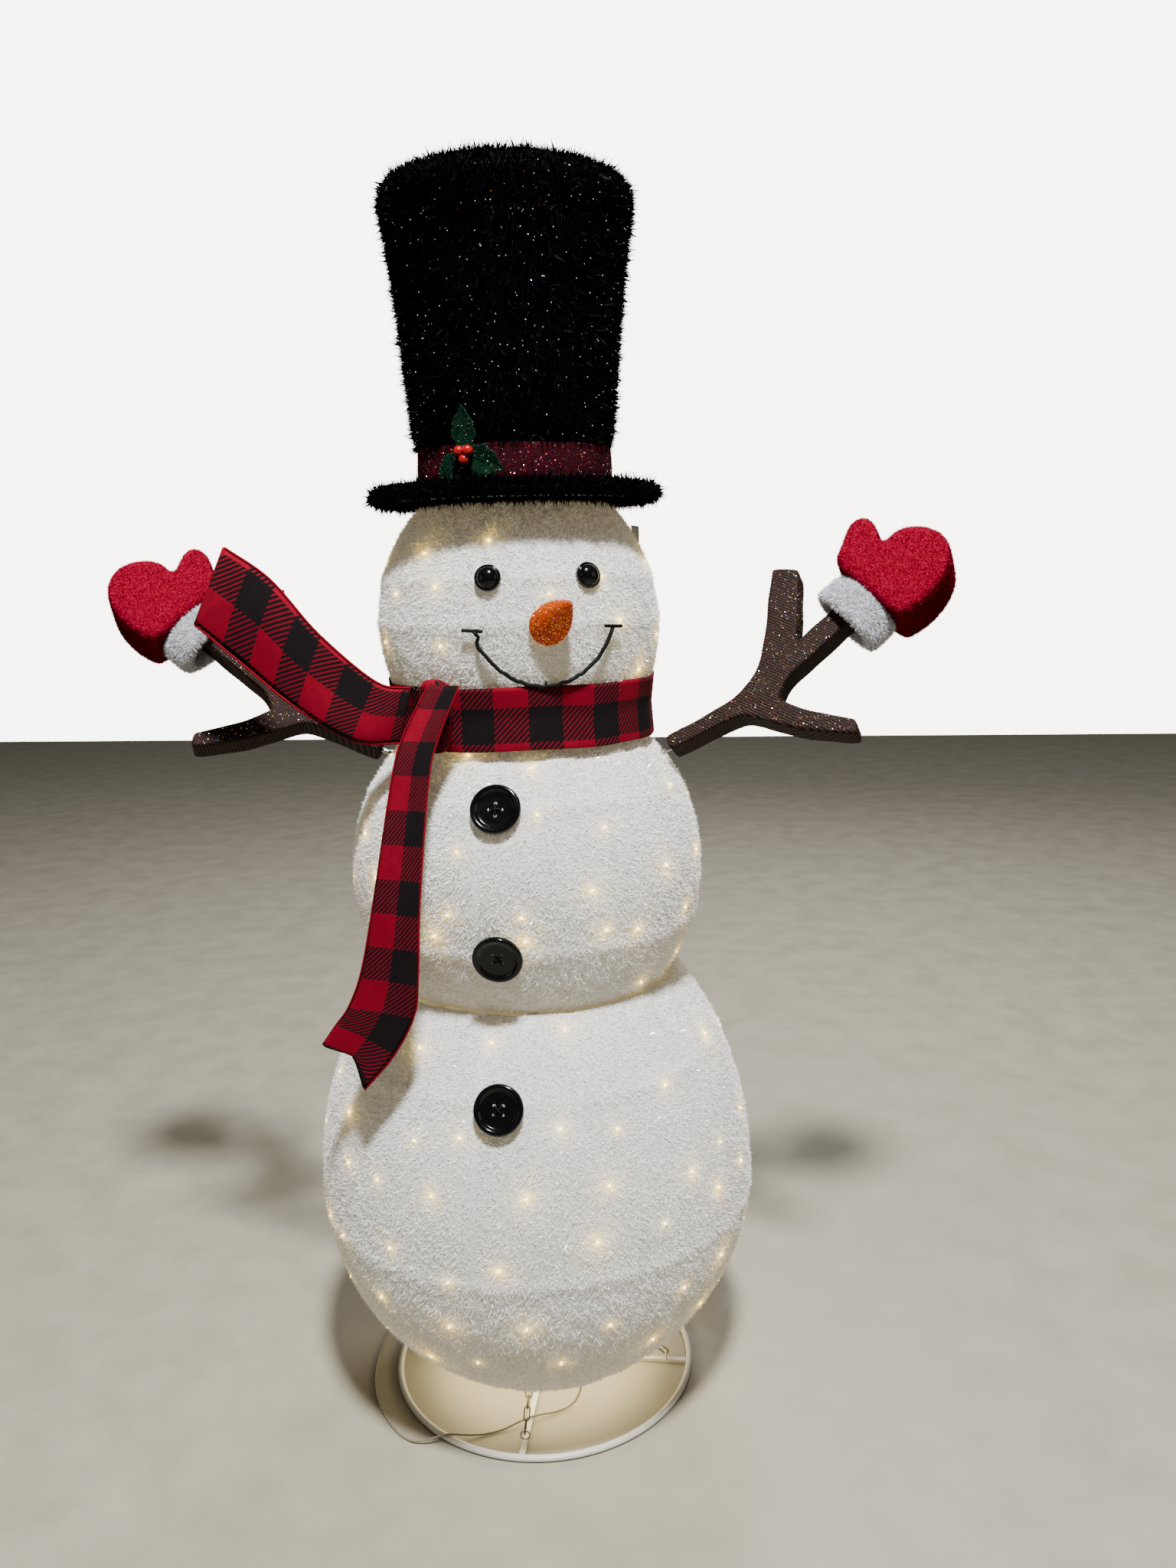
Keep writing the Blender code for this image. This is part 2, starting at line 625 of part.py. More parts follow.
def make_nose(body):
    """A stubby carrot that leans up and to the side."""
    profile = [(0.0, 1.0), (0.20, 0.97), (0.34, 0.88), (0.62, 0.63), (0.88, 0.34), (1.0, 0.12), (0.93, 0.0),
               (0.0, 0.0)]
    shape = [(r * NOSE_RADIUS, h * NOSE_LENGTH) for r, h in profile]
    nose = turned("nose", shape, "carrot", segments=SMALL_SEGMENTS, closed=False)
    lean = Matrix.Identity(4)
    lean[0][2], lean[1][2] = NOSE_LEAN[0] / NOSE_LENGTH, NOSE_LEAN[1] / NOSE_LENGTH
    place = surface_matrix(NOSE_AZIMUTH, NOSE_HEIGHT, 0.0030)
    nose = as_mesh(nose, matrix=lean)
    nose.matrix_world = place
    carry(body, nose)


def mouth_height(share):
    """Height of the smile's line, for a share of -1 to 1 of the way to its corners."""
    drop = math.sqrt(1 - MOUTH_ROUNDNESS * share * share)
    rise = (1 - drop) / (1 - math.sqrt(1 - MOUTH_ROUNDNESS))
    return MOUTH_BOTTOM_Z + (MOUTH_CORNER_Z - MOUTH_BOTTOM_Z) * rise


def make_mouth():
    """The smile: one black cord that lies on the fabric, with a short bar across each corner."""
    lift = MOUTH_RADIUS + 0.0015
    middle = FACE_AZIMUTH + 1.0
    points = [surface_point(middle + MOUTH_SPREAD * k / 8, mouth_height(k / 8), lift) for k in range(-8, 9)]
    mouth = as_mesh(wire("mouth", points, MOUTH_RADIUS, "gloss_black", resolution=1))
    for side in (-1, 1):
        corner = middle + MOUTH_SPREAD * side
        bar = [surface_point(corner + step, MOUTH_CORNER_Z, lift) for step in (-3.4, 0.0, 3.4)]
        combine(mouth, as_mesh(wire(f"corner_{side}", bar, MOUTH_RADIUS * 0.9, "gloss_black", resolution=1)))


def make_buttons(bodies):
    """Three big coat buttons with a raised rim and four holes."""
    rim, thickness = BUTTON_RADIUS, BUTTON_THICKNESS
    profile = [(0.0, thickness - 0.003), (rim * 0.74, thickness - 0.003), (rim * 0.82, thickness),
               (rim * 0.94, thickness), (rim, thickness - 0.002), (rim, 0.0015), (rim * 0.96, 0.0), (0.0, 0.0)]
    owners = {"button_upper": "hoop_chest", "button_middle": "hoop_middle_belly",
              "button_lower": "hoop_lower_shoulder"}
    for name, height in BUTTONS.items():
        matrix = surface_matrix(0.0, height, 0.0032)
        button = turned(name, profile, "gloss_black", matrix, 20, closed=False)
        for k in range(4):
            spot = Matrix.Rotation(math.radians(45 + 90 * k), 4, "Z") @ Matrix.Translation((0.0085, 0, 0.003))
            hole = cylinder(f"{name}_hole_{k}", BUTTON_HOLE, 0.02, "gloss_black", matrix @ spot, segments=6)
            combine(button, hole, "DIFFERENCE")
        carry(bodies[owners[name]], button)


# ---------------------------------------------------------------- scarf

def make_scarf():
    """Neck band, knot, the tail that blows sideways and the tail that hangs down the front."""
    turned("scarf_band", BAND_PROFILE, "plaid")
    knot = box("scarf_knot", (0.050, 0.016, 0.100), "plaid",
               Matrix.Translation((-0.0890, -0.1870, 1.104)) @ Matrix.Rotation(math.radians(-25), 4, "Z")
               @ Matrix.Rotation(math.radians(8), 4, "Y"))
    edge = knot.modifiers.new("Soft edges", "BEVEL")
    edge.width = 0.005
    edge.segments = 2
    top = [(-0.128, -0.181, 1.140), (-0.177, -0.178, 1.146), (-0.260, -0.172, 1.212), (-0.327, -0.160, 1.285),
           (-0.389, -0.156, 1.334)]
    bottom = [(-0.140, -0.178, 1.066), (-0.205, -0.186, 1.071), (-0.290, -0.176, 1.118),
              (-0.366, -0.166, 1.178), (-0.428, -0.168, 1.232)]
    ribbon("scarf_tail_blown", top, bottom, "plaid")
    left = [(-0.089, -0.214, 1.150), (-0.121, -0.236, 1.085), (-0.135, -0.252, 1.030), (-0.162, -0.270, 0.878),
            (-0.185, -0.274, 0.773), (-0.207, -0.272, 0.719), (-0.228, -0.270, 0.690), (-0.249, -0.268, 0.661)]
    right = [(-0.043, -0.232, 1.150), (-0.069, -0.250, 1.085), (-0.082, -0.262, 1.030), (-0.094, -0.292, 0.878),
             (-0.100, -0.300, 0.773), (-0.108, -0.300, 0.719), (-0.140, -0.297, 0.660), (-0.186, -0.290, 0.606)]
    ribbon("scarf_tail_hanging", left, right, "plaid")


# ---------------------------------------------------------------- arms

def stub_axis(side):
    """Direction in which an arm plugs out."""
    slope, sweep = math.radians(ARM_SLOPE[side]), math.radians(ARM_SWEEP[side])
    level = math.cos(slope)
    return Vector((side * level * math.cos(sweep), level * math.sin(sweep), math.sin(slope)))


def stub_matrix(side):
    """Frame at the trunk's end with local Z along the plug rod."""
    place = Vector((side * SHOULDER.x, SHOULDER.y, SHOULDER.z))
    turn = stub_axis(side).to_track_quat("Z", "Y").to_matrix().to_4x4()
    return Matrix.Translation(place) @ turn


def arm_matrix(side):
    """Frame of an arm: local X out along the rod, local Y up the branch, local Z out of its front."""
    out = stub_axis(side)
    lean = math.radians(ARM_LEAN[side])
    back = Vector((0.0, 0.0, 1.0)).cross(out).normalized() * side
    up = out.cross(back) * side * math.cos(lean) + back * math.sin(lean)
    turn = Matrix((out, up, out.cross(up) * side)).transposed().to_4x4()
    return Matrix.Translation(stub_matrix(side).translation) @ turn


def make_socket(side, name):
    """The tube that takes an arm's rod, with the lug that joins it to the neck hoop."""
    middle = -(SOCKET_REACH[0] + SOCKET_REACH[1]) / 2
    half = (SOCKET_REACH[0] - SOCKET_REACH[1]) / 2
    socket = turned(name, tube_ring(*SOCKET, middle - half, middle + half), "steel", stub_matrix(side), 12)
    inner_end = stub_matrix(side).translation - stub_axis(side) * (SOCKET_REACH[0] - 0.003)
    hoop_place = surface_point(0.0, HOOP_HEIGHTS["hoop_neck"], HOOP_LIFT)
    lug_top = hoop_place.z - HOOP_WIRE - CLEARANCE
    lug_low = inner_end.z + SOCKET[0] + 0.0003
    lug = box(name + "_lug", (0.004, 0.003, lug_top - lug_low), "steel",
              Matrix.Translation((side * (-hoop_place.y), inner_end.y, (lug_top + lug_low) / 2)))
    return combine(socket, lug)


def make_arm(bodies):
    """A forked branch on a plug rod, with a plush cuff and a mitten; the left one is a mirrored copy."""
    frame = arm_matrix(1)
    branch = as_mesh(outline_plate("arm_right", ARM_OUTLINE, ARM_DEPTH / 2, "bark_mesh"))
    branch.matrix_world = frame
    mitten = as_mesh(outline_plate("mitten_right", MITTEN_OUTLINE, MITTEN_EXTRUDE, "mitten_red", MITTEN_ROUND))
    mitten.matrix_world = frame
    turn = Matrix.Translation((*CUFF_CENTRE, 0.0)) @ Matrix.Rotation(math.radians(CUFF_TURN), 4, "Z") \
        @ Matrix.Rotation(math.pi / 2, 4, "Y")
    half, outer, inner = CUFF_HALF_LENGTH, 0.050, 0.031
    profile = [(outer * 0.93, half), (outer, half * 0.6), (outer, -half * 0.6), (outer * 0.93, -half),
               (inner, -half), (inner, half)]
    cuff = as_mesh(turned("cuff_right", profile, "cuff_white", segments=20),
                   matrix=turn @ Matrix.Diagonal((0.90, 1.18, 1.0, 1.0)))
    cuff.matrix_world = frame
    length = SOCKET_REACH[0] - CLEARANCE
    rod = cylinder("arm_rod_right", ROD_RADIUS, length, "steel",
                   stub_matrix(1) @ Matrix.Translation((0, 0, -length / 2 - CLEARANCE)), segments=10)
    pieces = [branch, mitten, cuff, rod]
    right = body_frame("arm_right_axis", SHOULDER)
    left = body_frame("arm_left_axis", (-SHOULDER.x, SHOULDER.y, SHOULDER.z))
    mirror = arm_matrix(-1) @ frame.inverted()
    carry(left, *[as_mesh(piece, mirror=mirror, name=piece.name.replace("right", "left")) for piece in pieces])
    carry(right, *pieces)
    carry(bodies["hoop_neck"], make_socket(1, "arm_socket_right"), make_socket(-1, "arm_socket_left"))


# ---------------------------------------------------------------- hat

def make_hat():
    """Crown, brim, glitter band, rim wire, inner hoop and holly."""
    body = body_frame("hat_axis", (0.0, 0.0, BRIM[2]))
    inner = [(0.0, 1.8215), (0.157, 1.8165), (0.1695, 1.804)]
    inner += [(r - CROWN_WALL, z) for r, z in (CROWN_OUTER[5], CROWN_OUTER[9], CROWN_OUTER[10])]
    crown = turned("hat_crown", CROWN_OUTER + inner[::-1], "tinsel_black", closed=False)
    low, wide, bottom, top = BRIM
    middle = (bottom + top) / 2
    brim = turned("hat_brim", [(low, top), (wide - 0.004, top), (wide, middle), (wide - 0.004, bottom),
                               (low, bottom)], "tinsel_black")
    band = turned("hat_band", tube_ring(BAND[1], BAND[0], BAND[2], BAND[3]), "glitter_red")
    rim_wire = torus("hat_rim_wire", 0.196, 0.0015, "frame_white",
                     Matrix.Translation((0, 0, BRIM[2] - 0.0015 - CLEARANCE)))
    top_hoop = torus("hat_top_hoop", 0.1645, HOOP_WIRE, "frame_white", Matrix.Translation((0, 0, 1.790)))
    carry(body, crown, brim, band, rim_wire, top_hoop, *make_holly())


def leaf_points(length, width):
    """Outline of a leaf from its stalk at the origin to its tip at +Y, with small waves."""
    side = []
    for k in range(1, 10):
        t = k / 10
        wave = 1.0 + 0.10 * math.sin(t * math.tau * 3)
        side.append((width / 2 * math.sin(math.pi * t ** 0.85) * wave, length * t))
    return [(0.0, 0.0)] + side + [(0.0, length)] + [(-x, y) for x, y in side[::-1]]


def make_holly():
    """Three glitter leaves welded at their stalks, and three berries."""
    frame = Matrix.Translation(around(HOLLY_AZIMUTH) * 0.1425 + Vector((0, 0, HOLLY_HEIGHT))) \
        @ Matrix.Rotation(math.radians(HOLLY_AZIMUTH), 4, "Z") @ Matrix.Rotation(math.radians(95), 4, "X")
    leaves = None
    for k, (turn, length, width) in enumerate(((0, 0.062, 0.034), (128, 0.054, 0.034), (-112, 0.060, 0.038))):
        shift = Matrix.Rotation(math.radians(turn), 4, "Z") @ Matrix.Translation((0, -0.003, 0))
        name = "holly_leaves" if k == 0 else f"leaf_{k}"
        leaf = as_mesh(outline_plate(name, leaf_points(length, width), LEAF_THICKNESS / 2, "holly_green"))
        leaf.matrix_world = frame @ shift
        leaves = leaf if k == 0 else combine(leaves, leaf)
    berries = None
    for k, (x, y) in enumerate(((-0.0062, 0.0030), (0.0062, 0.0030), (0.0, -0.0078))):
        name = "holly_berries" if k == 0 else f"berry_{k}"
        berry = sphere(name, 0.0072, "berry_red", frame @ Matrix.Translation((x, y, 0.0085)))
        berries = berry if k == 0 else combine(berries, berry)
    return leaves, berries


# ---------------------------------------------------------------- power cord

def make_cord():
    """Clip under the bottom hoop, the free cord, its coil and the plug."""
    exit_place = Vector(CORD_ROUTE[0])
    box("cord_clip", (0.012, 0.010, 0.012), "cord_clear",
        Matrix.Translation(exit_place + Vector((0, 0, 0.006 + CLEARANCE))))
    route = smooth_path(CORD_ROUTE, 4)
    wire("power_cord", evenly(route, 80), CORD_RADIUS, "cord_clear")
    turned("cord_coil", tube_ring(COIL_OUTER, COIL_INNER, 0.0002, COIL_HEIGHT), "cord_clear",
           Matrix.Translation(COIL_CENTRE), segments=24)
    plug = box("plug", PLUG_SIZE, "cord_clear", Matrix.Translation(PLUG_CENTRE))
    edge = plug.modifiers.new("Round edges", "BEVEL")
    edge.width = 0.004
    edge.segments = 2
    for side in (-1, 1):
        place = PLUG_CENTRE + Vector((side * 0.0064, PLUG_SIZE.y / 2 + 0.007, 0.0))
        combine(plug, box(f"blade_{side}", (0.0016, 0.018, 0.0063), "steel", Matrix.Translation(place)))


def evenly(path, count):
    """The same path with its points at even steps."""
    lengths = [0.0]
    for a, b in zip(path, path[1:]):
        lengths.append(lengths[-1] + (b - a).length)
    points, i = [], 0
    for k in range(count):
        goal = lengths[-1] * k / (count - 1)
        while i < len(path) - 2 and lengths[i + 1] < goal:
            i += 1
        share = (goal - lengths[i]) / (lengths[i + 1] - lengths[i])
        points.append(path[i].lerp(path[i + 1], min(1.0, share)))
    return points


def main():
    start_scene()
    make_base()
    bodies = make_hoops()
    middle_body = body_frame("pole_middle_axis", (0.0, 0.0, POLE_MIDDLE[3]))
    make_pole(bodies["hoop_crown"], middle_body)
    make_chains()
    make_skins()
    make_light_strings()
    make_eyes(bodies["hoop_head_upper"])
    make_nose(bodies["hoop_head_belly"])
    make_mouth()
    make_buttons(bodies)
    make_scarf()
    make_arm(bodies)
    make_hat()
    make_cord()


main()
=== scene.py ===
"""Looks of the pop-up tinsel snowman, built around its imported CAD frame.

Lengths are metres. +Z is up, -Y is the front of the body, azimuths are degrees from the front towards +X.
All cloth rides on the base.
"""
import math

import bmesh
import bpy
import numpy as np
from mathutils import Matrix, Vector


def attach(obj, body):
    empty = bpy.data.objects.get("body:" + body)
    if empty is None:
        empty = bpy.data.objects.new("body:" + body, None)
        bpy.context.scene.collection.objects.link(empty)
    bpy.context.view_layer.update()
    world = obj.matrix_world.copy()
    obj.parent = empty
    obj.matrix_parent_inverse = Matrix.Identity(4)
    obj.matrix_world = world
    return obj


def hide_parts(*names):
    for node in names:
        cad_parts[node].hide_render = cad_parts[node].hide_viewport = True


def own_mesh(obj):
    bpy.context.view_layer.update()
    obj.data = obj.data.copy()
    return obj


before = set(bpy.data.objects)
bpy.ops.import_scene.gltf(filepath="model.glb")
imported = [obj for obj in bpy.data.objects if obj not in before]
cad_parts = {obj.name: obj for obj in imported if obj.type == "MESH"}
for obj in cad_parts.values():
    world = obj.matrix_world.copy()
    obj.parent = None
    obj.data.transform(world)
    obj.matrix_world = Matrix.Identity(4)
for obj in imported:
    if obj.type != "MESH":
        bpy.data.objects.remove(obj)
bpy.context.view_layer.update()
RNG = np.random.default_rng(20)

# ---------------------------------------------------------------- measures shared with the CAD model

LOWER = dict(z=0.36, r=0.338, up=0.437, down=0.335, bottom=0.0665, top=0.6895,
             flat=(0.74, 2.13), area=1.29)
MIDDLE = dict(z=0.852, r=0.264, up=0.272, down=0.275, bottom=0.6905, top=1.0545,
              flat=(0.45, 1.66), area=0.603)
HEAD = dict(z=1.218, r=0.205, up=0.228, down=0.22, bottom=1.095, top=1.3915,
            flat=(0.42, 1.29), area=0.465)
FACE = 18.0
CORD_RADIUS = 0.0016
FLOOR_Z = CORD_RADIUS + 0.0002
CORD_ROUTE = [
    (0.076, -0.114, 0.05), (0.0758, -0.1142, 0.042), (0.0735, -0.116, 0.027), (0.066, -0.121, 0.012),
    (0.052, -0.129, 0.0045), (0.034, -0.139, 0.0035), (0.015, -0.151, 0.0075), (0.0, -0.16, 0.0088),
    (-0.015, -0.169, 0.0075), (-0.038, -0.182, 0.003), (-0.064, -0.193, 0.0022), (-0.09, -0.202, 0.006),
    (-0.112, -0.209, 0.0115), (-0.13, -0.216, 0.0122), (-0.15, -0.221, 0.0085), (-0.172, -0.218, 0.0035),
    (-0.196, -0.203, FLOOR_Z), (-0.221, -0.177, FLOOR_Z), (-0.245, -0.143, FLOOR_Z),
    (-0.264, -0.102, FLOOR_Z), (-0.276, -0.053, FLOOR_Z), (-0.28, 0.0, FLOOR_Z),
    (-0.276, 0.056, FLOOR_Z), (-0.264, 0.109, FLOOR_Z), (-0.244, 0.159, FLOOR_Z),
    (-0.215, 0.205, FLOOR_Z), (-0.18, 0.244, FLOOR_Z), (-0.142, 0.276, FLOOR_Z), (-0.105, 0.2995, FLOOR_Z),
]
COIL = Vector((-0.08, 0.33, 0.0))
SHOULDER = Vector((0.222, 0.0, 1.029))
ARM_SLOPE = {1: 27.0, -1: 24.0}
ARM_SWEEP = {1: 0.0, -1: -3.0}
ARM_LEAN = {1: 35.0, -1: 38.0}
ARM_OUTLINE = [
    (0.0, 0.0115), (0.068, 0.0125), (0.116, 0.0165), (0.145, 0.0275), (0.167, 0.0445), (0.187, 0.0685),
    (0.216, 0.1205), (0.252, 0.1855), (0.287, 0.1605), (0.249, 0.0795), (0.232, 0.0505), (0.272, 0.064),
    (0.342, 0.084), (0.352, 0.053), (0.305, 0.039), (0.243, 0.018), (0.202, 0.008), (0.172, -0.018),
    (0.206, -0.059), (0.258, -0.1015), (0.25, -0.1255), (0.208, -0.097), (0.171, -0.07), (0.125, -0.02),
    (0.104, -0.0125), (0.059, -0.0125), (0.0, -0.0125),
]
MITTEN_OUTLINE = [
    (0.373, 0.006), (0.3545, 0.065), (0.3345, 0.13), (0.356, 0.15), (0.373, 0.17), (0.39, 0.179),
    (0.406, 0.1745), (0.411, 0.156), (0.4045, 0.1185), (0.437, 0.131), (0.47, 0.113), (0.486, 0.085),
    (0.48, 0.052), (0.455, 0.0245), (0.418, 0.0065), (0.386, 0.002),
]
CROWN_PROFILE = [(0.0, 1.826), (0.12, 1.8255), (0.16, 1.82), (0.1735, 1.806), (0.174, 1.79),
                 (0.166, 1.745), (0.156, 1.665), (0.148, 1.571), (0.1385, 1.4685)]


# ---------------------------------------------------------------- camera, light and floor

def placed(name, data):
    """An object for a data block, in the scene."""
    thing = bpy.data.objects.new(name, data)
    bpy.context.collection.objects.link(thing)
    return thing


def camera():
    """The eye-height view from a little to the right, looking slightly down."""
    data = bpy.data.cameras.new("camera")
    data.lens = 27.04
    data.sensor_width = 36.0
    eye = placed("camera", data)
    place = Matrix.Translation((0.307, -1.742, 1.306))
    turn = Matrix.Rotation(math.radians(6.92), 4, "Z") @ Matrix.Rotation(math.radians(79.3), 4, "X")
    eye.matrix_world = place @ turn @ Matrix.Rotation(math.radians(-1.43), 4, "Z")
    bpy.context.scene.camera = eye


def lamp(name, place, aim, size, power, tint=(1.0, 1.0, 1.0)):
    data = bpy.data.lights.new(name, "AREA")
    data.shape = "DISK"
    data.size = size
    data.energy = power
    data.color = tint
    light = placed(name, data)
    light.location = place
    light.rotation_euler = (Vector(aim) - Vector(place)).to_track_quat("-Z", "Y").to_euler()


SKY_SEEN = 7.0
SKY_LIGHT = 0.07
FILL_TINT = (1.0, 0.92, 0.74)


def studio():
    """Pale floor, a high key light in front, soft fill from both sides, a rim light and a pale sky.

    The weak lamp under the base stands in for the light that the bulbs throw on the floor.
    """
    lamp("key", (0.6, -1.95, 4.85), (0.0, 0.0, 0.95), 0.5, 610, (0.98, 0.99, 1.0))
    lamp("fill_left", (-2.8, -1.9, 1.9), (0.0, 0.0, 0.9), 1.8, 6, FILL_TINT)
    lamp("fill_right", (2.9, -0.8, 2.0), (0.0, 0.0, 1.0), 1.6, 7, FILL_TINT)
    lamp("rim", (0.4, 3.0, 3.2), (0.0, 0.0, 1.1), 1.5, 80)
    lamp("under_glow", (0.0, 0.0, 0.058), (0.0, 0.0, 0.0), 0.36, 1.6, (1.0, 0.85, 0.52))
    world = bpy.data.worlds.new("studio")
    bpy.context.scene.world = world
    world.use_nodes = True
    tree = world.node_tree
    sky = tree.nodes["Background"]
    sky.inputs["Color"].default_value = (1.0, 0.97, 0.91, 1.0)
    seen = node(tree, "ShaderNodeLightPath").outputs["Is Camera Ray"]
    extra = math_node(tree, "MULTIPLY", seen, SKY_SEEN)
    tree.links.new(math_node(tree, "ADD", extra, SKY_LIGHT), sky.inputs["Strength"])
    bpy.ops.mesh.primitive_plane_add(size=14.0, location=(0, 0, -0.0004))
    floor = bpy.context.object
    floor.name = "floor"
    floor.data.materials.append(painted("floor_paint", (0.34, 0.31, 0.235), 0.6, 9.0, 0.02))


# ---------------------------------------------------------------- materials

def principled(name, color, rough, metallic=0.0, **sockets):
    """A material, its node tree and its shader, with plain values on the shader's own sockets."""
    material = bpy.data.materials.new(name)
    material.use_nodes = True
    tree = material.node_tree
    shader = tree.nodes["Principled BSDF"]
    shader.inputs["Base Color"].default_value = (*color, 1.0)
    shader.inputs["Roughness"].default_value = rough
    shader.inputs["Metallic"].default_value = metallic
    for key, value in sockets.items():
        shader.inputs[key.replace("_", " ")].default_value = value
    return material, tree, shader


def constant(name, color, rough, metallic=0.0, **sockets):
    return principled(name, color, rough, metallic, **sockets)[0]


def node(tree, kind, **settings):
    """A node; a setting is the value of the input with that name, or else an attribute."""
    made = tree.nodes.new(kind)
    for key, value in settings.items():
        if key in made.inputs:
            made.inputs[key].default_value = value
        else:
            setattr(made, key, value)
    return made


def math_node(tree, operation, *values):
    """The output of a Math node; each value is a number or another node's output."""
    made = node(tree, "ShaderNodeMath", operation=operation)
    for k, value in enumerate(values):
        if isinstance(value, (int, float)):
            made.inputs[k].default_value = value
        else:
            tree.links.new(value, made.inputs[k])
    return made.outputs[0]


def texture(tree, kind, **settings):
    """A texture node in the piece's own coordinates."""
    made = node(tree, kind, **settings)
    where = tree.nodes.new("ShaderNodeTexCoord")
    tree.links.new(where.outputs["Object"], made.inputs["Vector"])
    return made


def noise(tree, scale, detail=4.0, roughness=0.6):
    made = texture(tree, "ShaderNodeTexNoise", Scale=scale, Detail=detail, Roughness=roughness)
    return made.outputs["Fac"]


def ramp(tree, source, low, high, start=0.35, end=0.65):
    """A two-colour ramp over a factor."""
    made = tree.nodes.new("ShaderNodeValToRGB")
    made.color_ramp.elements[0].position = start
    made.color_ramp.elements[0].color = (*low, 1.0)
    made.color_ramp.elements[1].position = end
    made.color_ramp.elements[1].color = (*high, 1.0)
    tree.links.new(source, made.inputs["Fac"])
    return made.outputs["Color"]


def grey_ramp(tree, source, low, high):
    return ramp(tree, source, (low,) * 3, (high,) * 3)


def mix(tree, first, second, factor, blend="MIX"):
    """A mix of two colours; factor is a number or another node's output."""
    made = node(tree, "ShaderNodeMix", data_type="RGBA", blend_type=blend)
    if isinstance(factor, float):
        made.inputs["Factor"].default_value = factor
    else:
        tree.links.new(factor, made.inputs["Factor"])
    tree.links.new(first, made.inputs[6])
    tree.links.new(second, made.inputs[7])
    return made.outputs[2]


def bump(tree, shader, height, strength, distance):
    made = node(tree, "ShaderNodeBump", Strength=strength, Distance=distance)
    tree.links.new(height, made.inputs["Height"])
    tree.links.new(made.outputs["Normal"], shader.inputs["Normal"])


def painted(name, color, rough, scale=120.0, depth=0.15, metallic=0.0, **sockets):
    """Paint or moulded plastic: faint orange peel and slightly uneven colour and gloss."""
    material, tree, shader = principled(name, color, rough, metallic, **sockets)
    grain = noise(tree, scale)
    dark = tuple(c * 0.9 for c in color)
    tree.links.new(ramp(tree, grain, dark, color), shader.inputs["Base Color"])
    tree.links.new(grey_ramp(tree, grain, rough * 0.8, min(1.0, rough * 1.25)), shader.inputs["Roughness"])
    bump(tree, shader, grain, depth, 0.0005)
    return material


def worn_steel(name, color=(0.56, 0.55, 0.52), rough=0.32):
    """Zinc-plated steel with fine scratches and dull patches."""
    material, tree, shader = principled(name, color, rough, 1.0)
    patch, scratch = noise(tree, 60.0), noise(tree, 900.0)
    dull = tuple(c * 0.6 for c in color)
    tree.links.new(ramp(tree, patch, dull, color, 0.3, 0.6), shader.inputs["Base Color"])
    tree.links.new(grey_ramp(tree, scratch, 0.22, 0.48), shader.inputs["Roughness"])
    bump(tree, shader, scratch, 0.2, 0.0003)
    return material


def backing(name, low, high, glow=0.0, scale=260.0):
    """Knitted backing under a pile: mottled, with a fine bump, and, where glow is given, a painted warm glow:
    faint everywhere and bright where "glow" says so.
    """
    material, tree, shader = principled(name, high, 0.95, Specular_IOR_Level=0.1)
    fine, broad = noise(tree, scale, 6.0, 0.7), noise(tree, 14.0, 2.0)
    cloth_color = ramp(tree, fine, low, high)
    mottled = mix(tree, cloth_color, grey_ramp(tree, broad, 0.8, 1.0), 0.35, "MULTIPLY")
    tree.links.new(mottled, shader.inputs["Base Color"])
    bump(tree, shader, fine, 0.7, 0.002)
    if glow:
        lit = node(tree, "ShaderNodeAttribute", attribute_name="glow")
        # painted glow: faint warm emission everywhere, rising to bright yellow round the bulbs
        warm = ramp(tree, lit.outputs["Fac"], (0.06, 0.046, 0.026), (1.0, 0.74, 0.28), 0.0, 1.0)
        tree.links.new(warm, shader.inputs["Emission Color"])
        shader.inputs["Emission Strength"].default_value = glow
    return material


STRIPES_PER_SQUARE = 6.0
RED_SHARE_OF_STRIPE = 0.36


def plaid():
    """Buffalo plaid: red, black and diagonal twill squares. UV x counts squares across, y along the cloth."""
    material, tree, shader = principled("plaid_cloth", (0.4, 0.01, 0.02), 0.9, Specular_IOR_Level=0.1)
    place = node(tree, "ShaderNodeUVMap", uv_map="plaid")
    parts = tree.nodes.new("ShaderNodeSeparateXYZ")
    tree.links.new(place.outputs["UV"], parts.inputs[0])
    across, along = parts.outputs[0], parts.outputs[1]
    odd_across = math_node(tree, "MODULO", math_node(tree, "FLOOR", across), 2.0)
    odd_along = math_node(tree, "MODULO", math_node(tree, "FLOOR", along), 2.0)
    total = math_node(tree, "ADD", odd_across, odd_along)
    slant = math_node(tree, "MULTIPLY", math_node(tree, "ADD", across, along), STRIPES_PER_SQUARE)
    stripe = math_node(tree, "GREATER_THAN", math_node(tree, "FRACT", slant), RED_SHARE_OF_STRIPE)
    striped = math_node(tree, "COMPARE", total, 1.0, 0.1)
    black = math_node(tree, "GREATER_THAN", total, 1.5)
    dark = math_node(tree, "MAXIMUM", black, math_node(tree, "MULTIPLY", striped, stripe))
    weave, pile_shade = noise(tree, 1400.0, 3.0, 0.7), noise(tree, 70.0, 3.0)
    red = ramp(tree, weave, (0.1, 0.0, 0.006), (0.24, 0.001, 0.014))
    ink = ramp(tree, weave, (0.002, 0.001, 0.0015), (0.01, 0.006, 0.007))
    shaded = mix(tree, mix(tree, red, ink, dark), grey_ramp(tree, pile_shade, 0.7, 1.0), 0.5, "MULTIPLY")
    tree.links.new(shaded, shader.inputs["Base Color"])
    bump(tree, shader, weave, 0.5, 0.0006)
    return material


